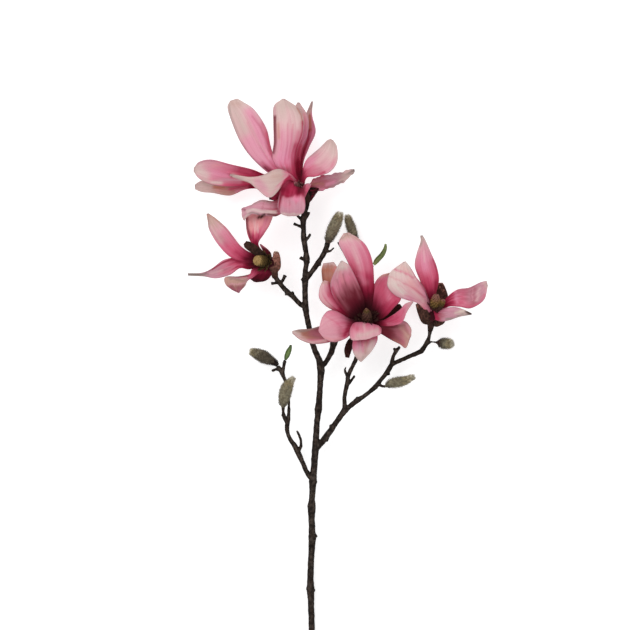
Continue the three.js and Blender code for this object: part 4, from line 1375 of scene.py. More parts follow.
TOP_TEPALS = {
    "tall_left": Tepal(
        left=((298, 188, 43), (281, 180.5, 50), (266, 171, 56), (250, 155.5, 61), (239, 139, 63),
            (230.5, 118, 62), (227.6, 107, 61)),
        right=((301, 184, 44), (287, 172, 50), (277, 163, 52), (271, 147, 54), (266.2, 128, 57),
            (254.5, 110, 59), (243, 101.8, 59)),
        tip=(233.6, 100, 58), cup=-4, blunt=8, roll=(0.8, 0.6),
        creases=((2.5, ((250, 124), (258, 141), (266, 157)), 0.8),
            (2, ((256, 138), (264, 148), (270, 157)), -0.7)),
        tones=((0, WINE), (0.12, RUBY), (0.22, CERISE), (0.36, ORCHID), (0.55, ROSE), (0.72, BLUSH),
            (0.9, CREAM), (1, BEIGE)),
        strokes=((BEIGE, 9, ((232, 106), (238, 119), (243, 131)), 0.8),
            (PEACH, 5, ((233, 103), (239, 104)), 0.4), (ORCHID, 8, ((250, 140), (260, 157))),
            (ORCHID, 7, ((250, 112), (258, 126), (265, 142)), 0.75),
            (CERISE, 3, ((262, 124), (267, 136), (270, 148))),
            (CERISE, 2.4, ((266, 134), (269, 145), (271, 154)), 0.7),
            (RUBY, 1, ((252, 116), (260, 127), (265.5, 139), (269.5, 151)), 0.4),
            (PINK, 1, ((247, 122), (254, 136), (262, 149), (268, 160))),
            (ROSE, 6, ((252, 150), (260, 160))), (BLUSH, 1.4, ((250, 124), (258, 142), (269, 159)), 0.45),
            (RUBY, 2.6, ((262, 163), (270, 171))), (WINE, 3, ((265, 168), (271, 172)), 0.7),
            # this stroke and the next are painted shade along the curled left edge
            (MAROON, 1.3, ((238, 138), (249, 155), (263, 169)), 0.6),
            (ASH, 1.3, ((228.6, 101), (230.5, 116), (238, 136)))),
    ),
    "tall_middle": Tepal(
        left=((297, 188, 44), (284, 176, 52), (273, 160, 58), (274, 142, 63), (273.5, 122, 64),
            (274, 106, 62)),
        right=((303, 186, 44), (296, 173, 50), (297, 152, 55), (303, 134, 59), (303.5, 118, 60),
            (297, 107, 60)),
        tip=(283.5, 98.8, 60), cup=-5, roll=(1.2, 0.6),
        creases=((2, ((288, 122), (287, 146), (284, 164)), 0.4),
            (2, ((276.5, 118), (277, 138), (275, 150)), -0.9)),
        tones=((0, GARNET), (0.12, RUBY), (0.2, CERISE), (0.32, ORCHID), (0.5, ROSE), (0.68, BLUSH),
            (0.82, BEIGE), (1, BEIGE)),
        strokes=((ORCHID, 9, ((286, 134), (285, 158)), 0.4), (BEIGE, 4, ((280, 106), (281, 118))),
            (BLUSH, 4, ((292, 112), (293, 126))), (CERISE, 1, ((288, 124), (287, 146), (284, 164)), 0.4),
            (CERISE, 1, ((293.5, 124), (292, 140), (288, 160)), 0.4),
            (PINK, 1.2, ((282, 132), (281, 150)), 0.35), (MAUVE, 1.4, ((274.5, 108), (274.5, 118))),
            # painted shade on the rolled left margin
            (MAROON, 2, ((274.6, 117), (275, 130), (275, 142), (273.2, 153)), 0.9),
            (CLAY, 1.8, ((278, 124), (278.4, 138)), 0.55),
            (ROSE, 1.6, ((280, 142), (276.5, 150), (273.5, 157)), 0.6),
            (BRICK, 1.6, ((297, 108), (301, 115), (303, 124)), 0.8),
            (RUBY, 2, ((302.5, 122), (302.5, 132), (300, 140), (297.5, 147)), 0.85),
            (CERISE, 3, ((299, 132), (296, 144), (291, 157))),
            (RUBY, 4.5, ((296.5, 146), (294, 160), (294, 176)), 0.85),
            (GARNET, 2.4, ((298, 150), (296, 162), (297, 176)), 0.9),
            (DUSK, 3, ((274, 169), (289, 170)), 0.6)),
    ),
    "behind_middle": Tepal(
        left=((298, 187, 42), (293, 170, 37), (290, 150, 35), (289, 130, 35), (291, 114, 37)),
        right=((303, 185, 42), (300, 165, 39), (301.5, 150, 39), (307.5, 135, 39), (308, 117, 41)),
        tip=(298.5, 102.5, 42), cup=3,
        tones=((0, GARNET), (0.25, RUBY), (0.4, CERISE), (0.6, ORCHID), (0.85, BLUSH), (1, BEIGE)),
        strokes=((ORCHID, 2.4, ((305, 120), (305.5, 132), (302.5, 145)), 0.8),
            (CERISE, 2.4, ((301.5, 146), (299, 158)), 0.8), (RUBY, 2.4, ((299, 160), (298.5, 172)), 0.7),
            (CREAM, 2.6, ((298, 105), (301.5, 112)), 0.75), (SALMON, 1.6, ((303, 114), (304.6, 124)), 0.6)),
    ),
    "hooked": Tepal(
        left=((299, 187, 40), (296, 168, 31), (297, 150, 26), (300, 132, 24), (305, 117, 29)),
        right=((304, 185, 41), (303, 164, 35), (309, 147.5, 31), (315.5, 132, 31), (312, 115, 34)),
        tip=(312, 101.5, 38), cup=3,
        tones=((0, GARNET), (0.22, RUBY), (0.36, CERISE), (0.5, PINK), (0.66, ORCHID), (0.85, BEIGE),
            (1, ASH)),
        strokes=((ORCHID, 2.6, ((312.5, 114), (314.5, 126), (313, 138), (308, 150), (303.6, 160)), 0.95),
            (CLAY, 1.9, ((309.6, 116), (310.2, 124), (310, 131)), 0.95),
            (RUBY, 1.8, ((309.8, 130), (308, 140), (304, 151), (301.6, 162)), 0.9),
            (PINK, 1.6, ((306.4, 120), (306.2, 132), (303.6, 143)), 0.6),
            (BLUSH, 1.4, ((307, 110), (307.6, 120)), 0.6),
            (MAUVE, 1, ((315.4, 120), (315.8, 131), (312, 144))),
            (BEIGE, 1.3, ((307, 110), (312.5, 101)), 0.8)),
    ),
    "right_round": Tepal(
        left=((301, 185, 44), (303, 168, 47), (306.5, 159.5, 50), (314, 152.5, 52), (320.5, 147, 53),
            (326.5, 140.8, 53.5)),
        right=((304, 188, 43), (306.5, 178, 47), (315, 176.8, 51), (329, 172.5, 54), (337, 162, 55),
            (337, 147.5, 55)),
        tip=(331.8, 139.6, 54), cup=3, blunt=3, roll=(0.6, 0.8),
        tones=((0, GARNET), (0.1, RUBY), (0.2, CERISE), (0.34, PINK), (0.5, ROSE), (0.68, BLUSH),
            (0.85, BEIGE), (1, BEIGE)),
        strokes=((ORCHID, 4, ((306, 166), (312, 160))), (PINK, 3, ((332, 165), (335, 158))),
            (BLUSH, 5, ((319, 163), (326, 155)), 0.55),
            (RUBY, 1.9, ((306, 177.5), (316, 176.6), (324, 172.4)), 0.85),
            (LILAC, 4, ((310, 173), (320, 170))), (CREAM, 5, ((330, 147), (334, 156)), 0.4),
            (ASH, 1.1, ((306, 158), (316, 152.4), (322, 146), (327, 140.6)))),
    ),
    "right_ruffled": Tepal(
        left=((302, 188, 42), (308.5, 186.5, 41), (313, 179.5, 40), (321, 175.4, 39), (333, 174, 38),
            (344, 172.3, 40)),
        right=((303, 191, 41), (310, 190, 36), (317, 191.4, 33), (326, 189.8, 31), (336.5, 185.6, 30),
            (346, 179.6, 34)),
        tip=(354.5, 169.8, 41), cup=2, wave=1.5, blunt=3, ruffle=0.9,
        tones=((0, RUBY), (0.16, RUBY), (0.32, LILAC), (0.5, LILAC), (0.66, MAUVE), (0.86, BEIGE), (1, ASH)),
        strokes=((RUBY, 1.8, ((311, 178.5), (318, 176.6), (326, 175)), 0.75),
            (MAUVE, 3.4, ((329, 177), (340, 175.6))), (BRICK, 2.4, ((313, 184), (323, 183.6)), 0.6),
            (ORCHID, 2, ((317, 189.4), (324, 189.4)), 0.7), (ORCHID, 2.4, ((327, 184), (334, 181.6)), 0.6),
            (BEIGE, 2.4, ((341, 180.5), (346, 177)), 0.8),
            (ASH, 1, ((330, 187.6), (337, 184.4), (343, 181)), 0.6),
            (BLUSH, 1.6, ((345, 173.4), (350, 171)), 0.6)),
    ),
    "left_upper": Tepal(
        left=((297, 190, 41), (262, 183.5, 34), (244, 186, 33), (225, 186.5, 36), (210, 184, 39),
            (199, 178.5, 42)),
        right=((298, 186, 42), (265, 174.5, 39), (251.5, 169.2, 41), (231, 164.4, 45), (212, 159.6, 48),
            (199.5, 161.6, 47)),
        tip=(193.8, 169.8, 45), cup=2, blunt=4,
        creases=((2.2, ((249, 178), (236, 175), (228, 173)), -0.9),),
        tones=((0, DARK), (0.1, GARNET), (0.22, GARNET), (0.34, RUBY), (0.48, CERISE), (0.6, PINK),
            (0.74, ROSE), (0.88, BLUSH), (1, BEIGE)),
        strokes=((RUBY, 4.4, ((258, 172.6), (246, 170.8), (236, 168.4)), 0.9),
            (CERISE, 3, ((254, 172), (242, 170)), 0.4), (PINK, 3.6, ((236, 168), (226, 166.4)), 0.6),
            (GARNET, 2.6, ((262, 174), (253, 171)), 0.8), (ORCHID, 5, ((226, 176), (214, 173)), 0.6),
            (MAUVE, 3.4, ((240, 180.5), (228, 180), (216, 181)), 0.8),
            (BEIGE, 2.6, ((262, 180.5), (249, 180), (240, 178), (233, 175)), 0.7),
            (CREAM, 3, ((212, 182.4), (221, 182.6)), 0.8), (MAROON, 1.4, ((231.2, 176.4),), 0.8),
            (ROSE, 4, ((219, 163), (206, 164))), (SALMON, 2.4, ((213, 166), (222, 165)), 0.4),
            (CREAM, 6, ((198, 168), (206, 176)), 0.6), (BEIGE, 2.4, ((201, 179), (208, 180.6)), 0.6),
            (MAUVE, 1, ((197, 164), (206, 160.6), (216, 160.6)))),
    ),
    "left_lower": Tepal(
        left=((298, 192, 40), (262, 189, 28), (246, 189.5, 25), (230, 195.5, 24), (213, 193, 27),
            (202, 192, 31)),
        right=((298, 189, 41), (262, 184, 30), (246, 183, 29), (230, 182.5, 29), (213, 181.5, 31),
            (201, 181, 34)),
        tip=(195, 187, 34), cup=3, blunt=5,
        tones=((0, DARK), (0.14, GARNET), (0.26, RUBY), (0.42, LILAC), (0.56, PEACH), (0.74, BEIGE),
            (1, BEIGE)),
        strokes=((CERISE, 3, ((248, 187), (238, 188), (230, 189)), 0.75),
            (RUBY, 1.6, ((247, 184.6), (236, 184.4), (226, 185)), 0.7),
            (CLAY, 2.6, ((224, 187.4), (214, 186.6)), 0.85),
            (SALMON, 2.4, ((218, 190), (228, 190.4)), 0.45),
            (PEACH, 2.8, ((222, 192), (232, 193.4), (243, 190.5)), 0.7),
            (ORCHID, 2, ((236, 191), (246, 189))), (CREAM, 4, ((200, 186), (210, 186.6)), 0.6),
            (GARNET, 2.4, ((257, 186.6), (250, 186.8)), 0.9)),
    ),
    "folded_over": Tepal(
        left=((299, 189, 46), (288, 180, 66), (271, 197.5, 76), (257.5, 189.5, 71), (250, 183, 66),
            (240, 179.6, 62)),
        right=((300, 184, 46), (289, 173, 60), (277, 169, 70), (262, 175.3, 71), (251, 177, 67),
            (241, 176, 62)),
        tip=(230, 175, 59), cup=-3,
        tones=((0, RUBY), (0.1, CERISE), (0.2, PINK), (0.28, BEIGE), (1, BEIGE)),
        strokes=((PEACH, 5, ((274, 176), (279, 176)), 0.4),
            (ROSE, 5.5, ((257, 181), (261, 188), (267, 195)), 0.75), (MAUVE, 4.4, ((259, 181), (264, 188))),
            (ROSE, 1.2, ((287, 174), (283, 180), (279, 186), (272, 193)), 0.8),
            (PINK, 2, ((290, 172.6), (295, 175)), 0.7), (LILAC, 2, ((291, 176), (296, 180)), 0.7),
            (RUBY, 1.2, ((288.6, 175.4), (292, 179), (294, 184), (289, 186), (281, 188), (284, 181)),
             0.97, True), (ASH, 2.4, ((241, 180), (231, 175)), 0.4), (ASH, 1.3, ((262, 175.5), (270, 172))),
            (MAROON, 1.2, ((231.4, 176),), 0.8)),
    ),
    "front_lobe": Tepal(
        left=((303, 188, 45), (304, 192, 52), (305, 199, 62), (305.3, 207, 66), (303, 213, 65)),
        right=((298, 181, 46), (288, 175.5, 56), (280.5, 190, 62), (277.5, 206, 67), (280.5, 213.5, 66)),
        tip=(291.5, 216, 63), cup=-2, blunt=9, roll=(0.1, 0.3),
        tones=((0, RUBY), (0.36, RUBY), (0.44, CERISE), (0.54, MAUVE), (0.75, MAUVE), (0.92, ROSE),
            (1, CREAM)),
        strokes=(
            (RUBY, 2, ((282, 186), (290, 179), (298, 186), (301, 190), (296, 194), (289, 196),
             (282, 194)), 0.95, True), (CERISE, 2.4, ((284, 186), (288, 181))),
            (GARNET, 1.8, ((281, 195), (286, 196.4), (292, 195.6), (297, 192.8), (301, 189)), 0.7),
            (GARNET, 4.4, ((297, 186), (300, 191)), 0.9), (GARNET, 4, ((284, 191), (291, 193))),
            # the first stroke here is a painted highlight
            (PINK, 5, ((283, 203), (289, 206))), (ORCHID, 4, ((294, 199), (300, 199)), 0.6),
            (ROSE, 3, ((302, 198), (303.5, 208))),
            (GARNET, 1.8, ((280.6, 197), (279.4, 204), (278.6, 211)), 0.9),
            (LILAC, 1, ((289, 200), (290, 205))), (CREAM, 1.7, ((281, 214), (290, 215), (300, 214)), 0.7)),
    ),
    "front_left": Tepal(
        left=((300, 193, 43), (290, 206, 52), (277, 216, 61), (263, 215.5, 64), (251, 214.5, 62),
            (243.6, 220.4, 60)),
        right=((297, 190, 44), (287, 197, 54), (273, 201, 60), (261, 199.8, 62), (251, 204.8, 59),
            (242.2, 208.6, 58)),
        tip=(246, 213.4, 57), cup=-2, wave=1.5, blunt=9, ruffle=0.6,
        tones=((0, GARNET), (0.2, RUBY), (0.32, LILAC), (0.5, MAUVE), (0.8, MAUVE), (0.92, BEIGE), (1, ASH)),
        strokes=((RUBY, 3, ((284, 196), (278, 197)), 0.9), (ROSE, 3.5, ((256, 206), (270, 206))),
            (LILAC, 1, ((264, 202), (262, 209))), (LILAC, 1, ((271, 204), (270, 211)), 0.4),
            (CREAM, 1.9, ((247, 211.4), (252, 209.6), (262, 211.8), (276, 212.4)), 0.8),
            (ASH, 1.2, ((247, 214.5), (252, 212.4), (258, 213.8)), 0.8),
            (ASH, 1.1, ((251, 205.4), (261, 200.5), (270, 202.6)), 0.7),
            # this stroke and the next are painted shadow under the rolled lower margin
            (UMBER, 1.5, ((256.5, 215.6), (261, 215.8), (265, 214.6)), 0.95),
            (BRACT, 1.2, ((268, 214.6), (274, 215.4), (279, 215.6)), 0.8),
            (MAROON, 1.4, ((245, 210.6), (242, 209)), 0.6), (BEIGE, 2.6, ((244, 219), (248, 215)), 0.7)),
    ),
    "resting": Tepal(
        left=((297, 188, 40), (285, 168, 37), (276.5, 148, 29), (275.5, 129, 17), (279.5, 113, 6)),
        right=((303, 187, 40), (301, 168, 37), (300.5, 148, 29), (300, 129, 17), (296, 113, 6)),
        tip=(288, 104.5, 1.2), cup=3,
        tones=((0, WINE), (0.3, CERISE), (0.55, PINK), (0.8, BLUSH), (1, BEIGE)),
    ),
    "inner_left": Tepal(
        left=((297, 194, 43), (288, 198, 50), (280, 199.5, 55), (273, 200, 58)),
        right=((297, 186, 44), (287, 182.5, 53), (279, 184, 58), (272, 190, 61)),
        tip=(268.3, 195.5, 60), cup=-1, blunt=3,
        tones=((0, GARNET), (0.3, RUBY), (0.7, RUBY), (1, GARNET)),
        strokes=((CERISE, 1.4, ((283, 184), (279, 188), (274, 193)), 0.7),
            # the soot stroke here is painted shade in the dark gap at the tepal's tip
            (GARNET, 1.6, ((284, 198), (277, 198.6)), 0.7), (SOOT, 2.6, ((271, 194), (270, 198)), 0.95),
            (GARNET, 1, ((281, 187), (283, 195)), 0.6)),
    ),
    "inner_right": Tepal(
        left=((301.5, 197, 47), (301, 190, 50.5), (304.5, 184.5, 48)),
        right=((304, 200, 46), (307.5, 192, 48.5), (310.5, 186.5, 46)),
        tip=(309.8, 183.5, 46), cup=-1, blunt=3,
        tones=((0, LILAC), (0.4, CERISE), (1, MAUVE)),
        strokes=((GARNET, 1.6, ((301, 188), (301, 196)), 0.9),
            (MAROON, 1.4, ((305, 186), (303.6, 192)), 0.6)),
    ),
}
TOP_CALYX = Calyx(
    neck=Limb(((306.3, 207, 39.3, 2.8), (306.8, 200, 40.3, 3.2), (305.5, 194.5, 41.2, 3.8),
        (302, 190, 42.4, 4))),
    tones=((0, DARK), (0.4, SOOT), (0.7, WINE), (1, SOOT)),
    scales=(
        Scale(
            left=((304, 196, 41), (306, 203, 39), (306.5, 206, 38.5)),
            right=((303, 190, 42), (311, 187.5, 40), (319, 188.5, 38)),
            tip=(311.5, 197.5, 37),
        ),
        Scale(
            left=((305, 200, 39.5), (292, 205, 40), (279, 202, 43)),
            right=((304, 195, 39.5), (290, 198, 40), (278, 194.5, 43)),
            tip=(269, 197, 46),
        ),
    ),
)
TOP_HEART = Heart(
    cone=Limb(((299, 188, 48.5, 3.6), (296.8, 185, 56, 2.8), (295, 182.5, 61, 1.4)), knobs=0.1, crowd=5),
    tones=((0, DARK), (0.6, BRACT), (1, DUSK)),
    stamens=22, length=8, spread=0.3,
    stamen_tones=((0, DARK), (0.5, UMBER), (1, DUSK)),
)
LEFT_TEPALS = {
    "upper_left": Tepal(
        left=((266, 264, 41), (246, 262, 47), (231, 257.5, 53), (218.5, 245, 57), (209.6, 230.5, 58),
            (207.6, 221, 57)),
        right=((269, 259, 41), (253, 254, 47), (241.6, 246.8, 53), (233.4, 236.8, 56), (226.4, 227.8, 58),
            (216, 218.8, 59)),
        tip=(207.4, 213.6, 57), cup=-3, blunt=1.4, roll=(0.5, 0.8),
        tones=((0, DARK), (0.12, GARNET), (0.24, RUBY), (0.38, CERISE), (0.52, PINK), (0.66, ROSE),
            (0.78, PEACH), (0.94, PEACH), (1, ASH)),
        strokes=((PINK, 5, ((220, 237), (227, 243)), 0.6), (LILAC, 4, ((220, 238), (227, 244)), 0.45),
            (CERISE, 1.4, ((224, 227), (233, 237), (241, 246))),
            (BEIGE, 4, ((210, 224), (216, 234), (221, 241)), 0.4), (BEIGE, 3.4, ((211, 219), (220, 228))),
            (CERISE, 5, ((228, 247), (236, 254)), 0.6), (RUBY, 3, ((236, 252), (243, 256)), 0.6),
            (WINE, 4, ((252, 258), (246, 259)), 0.8), (ASH, 1, ((208, 217), (210, 228), (217, 239)))),
    ),
    "upright": Tepal(
        left=((266, 260, 40), (254, 247, 45), (248, 236, 48), (246, 224, 48), (247, 212, 46)),
        right=((270, 258, 40), (258.5, 245, 45), (264, 234, 48), (270, 224, 48), (272.5, 212, 46)),
        tip=(260, 203, 44), cup=-3, roll=(1.2, 0.5),
        tones=((0, DARK), (0.16, GARNET), (0.3, RUBY), (0.4, CERISE), (0.52, SALMON), (0.74, SALMON),
            (1, ROSE)),
        strokes=((MAROON, 2.2, ((247, 218), (248, 229), (251, 238)), 0.9),
            # the two blush streaks here are painted highlights
            (BLUSH, 2, ((254, 219), (255.5, 230))), (BLUSH, 1, ((258, 224), (258, 233)), 0.6),
            (PINK, 4, ((267, 220), (262, 232)), 0.7),
            (CERISE, 1.2, ((271, 219), (265, 231), (260, 239)), 0.6),
            (RUBY, 2.4, ((253.5, 236), (255.5, 243)), 0.7), (GARNET, 3, ((255, 242), (257, 249)), 0.8),
            (CERISE, 2, ((257, 236), (258.5, 241))),
            # painted shadow under the top bloom's rolled margin
            (UMBER, 2.2, ((258.5, 218), (262, 216.6), (266, 214.4)), 0.9)),
    ),
    "left_tailed": Tepal(
        left=((266, 265, 41), (250, 269.5, 42), (240, 268.5, 44), (230, 275, 45), (216, 278.5, 45),
            (203, 276.5, 43)),
        right=((266, 261, 42), (249, 262, 46), (238, 258, 48), (224, 260, 49), (212, 268.5, 47),
            (202, 273, 44)),
        tip=(188, 274.5, 39), cup=2, roll=(0.5, 1.0),
        tones=((0, DARK), (0.12, WINE), (0.22, GARNET), (0.34, RUBY), (0.46, PINK), (0.6, MAUVE),
            (0.74, MAUVE), (0.86, ASH), (1, ASH)),
        strokes=((GARNET, 1.4, ((244, 257.8), (232, 258.6), (222, 262.6), (212, 268.6)), 0.9),
            (CERISE, 3, ((242, 264), (231, 264)), 0.7), (PINK, 2.6, ((230, 270), (220, 272.6)), 0.6),
            (LILAC, 3, ((233, 268), (223, 271))), (BLUSH, 2, ((222, 270.5), (211, 273))),
            (RUBY, 2, ((246, 262), (238, 262)), 0.6), (MAROON, 1, ((212, 269), (204, 272)), 0.6),
            (BRACT, 1, ((206, 271.4), (196, 271.6), (189, 272)))),
    ),
    "recurved": Tepal(
        left=((267, 267, 40), (260, 272.5, 44), (254, 276.5, 46), (250, 279, 47), (247, 282, 48),
            (245.2, 286, 48), (242, 289.6, 47)),
        right=((264, 265, 41), (252.5, 269, 46), (249.8, 274.4, 50), (238, 277, 55), (225.6, 277.4, 55),
            (225.4, 284, 53), (231.5, 289.6, 50)),
        tip=(238.8, 292.6, 45), cup=-2, blunt=1.2, roll=(0.8, 0.8),
        tones=((0, WINE), (0.16, RUBY), (0.3, CERISE), (0.42, MAUVE), (0.52, PEACH), (0.72, PEACH),
            (0.84, LILAC), (1, MAUVE)),
        strokes=((BRACT, 1.1, ((227, 276.6), (238, 277), (248, 275.6)), 0.8),
            (PEACH, 3, ((229, 280), (238, 280.5), (245, 279)), 0.8), (ASH, 1, ((229, 278.4), (240, 278.8))),
            (DUSK, 3.4, ((231, 286.5), (237, 288), (243, 286)), 0.75),
            (ROSE, 1.2, ((230, 283.6), (238, 284.6), (245, 283)), 0.6),
            (CERISE, 2.4, ((251.6, 269), (249.4, 277)), 0.7),
            (MAROON, 1.1, ((229, 288), (235, 291), (239, 292), (243, 290)))),
    ),
    "dark_low": Tepal(
        left=((272, 265, 38), (272.3, 273, 39), (266.5, 280.3, 38)),
        right=((266, 266, 38), (256, 270, 41), (249.8, 277.5, 41)),
        tip=(255.5, 282, 37), blunt=4,
        tones=((0, DARK), (0.4, WINE), (0.7, WINE), (1, DARK)),
        strokes=((LILAC, 2, ((252, 270.6), (260, 271.4)), 0.8), (RUBY, 2.4, ((259, 273), (267, 272)), 0.6),
            (DARK, 2.4, ((251, 279.6), (262, 280.6), (268, 278)), 0.9)),
    ),
    "sliver": Tepal(
        left=((268, 258, 39), (263.5, 251.5, 42), (260.6, 246.5, 44)),
        right=((272, 258, 38), (270.8, 252.8, 40), (267, 248.6, 42)),
        tip=(260.4, 244.2, 44), blunt=1.2,
        tones=((0, DARK), (0.5, MAROON), (0.8, LILAC), (1, MAROON)),
    ),
    "resting": Tepal(
        left=((268, 265, 37), (250, 261.5, 34), (236, 256.5, 26), (225, 247, 15), (217, 236, 5.5)),
        right=((271, 260, 37), (256, 254.5, 34), (243, 248.5, 26), (234, 239, 15), (226, 231, 5.5)),
        tip=(216, 226, 1.2), cup=2,
        tones=((0, WINE), (0.25, RUBY), (0.5, PINK), (0.8, BLUSH), (1, BEIGE)),
    ),
}
LEFT_CALYX = Calyx(
    neck=Limb(((275.4, 278, 36, 2.9), (274, 271.5, 37, 4), (272.5, 265, 38.5, 4.6))),
    tones=((0, BRACT), (0.2, RUSSET), (0.45, BRICK), (0.6, RUSSET), (0.76, BRICK), (0.88, ASH), (1, DOWN)),
    scales=(
        Scale(
            left=((271, 269, 36), (271.5, 262, 43), (273, 256, 46), (273.5, 253, 47)),
            right=((276, 274, 35), (280.3, 268, 37), (280.6, 260, 39), (279, 253.5, 42)),
            tip=(276.2, 251.2, 45), cup=-1.5, blunt=4,
        ),
    ),
    neck_tones=((0, UMBER), (0.5, BRACT), (1, RUSSET)),
)
LEFT_HEART = Heart(
    cone=Limb(((267, 262, 44.5, 5), (262, 261, 54, 5.2), (257.5, 260.5, 61, 4.6), (256.6, 260.3, 62.5, 2.6)),
        knobs=0.15, crowd=8),
    tones=((0, SOOT), (0.5, MOSS), (0.78, OLIVE), (1, OLIVE)),
    stamens=70, length=12.5, spread=0.55,
    stamen_tones=((0, SOOT), (0.5, UMBER), (1, MOSS)),
    lobes=(
        Blade(
            left=((266, 263, 46), (258, 257, 52), (251, 252.5, 55), (245, 247.8, 57)),
            right=((268, 259, 46), (264, 252.5, 51), (257, 246, 54), (250.5, 242, 56)),
            tip=(245, 242.6, 57), blunt=4,
        ),
    ),
)
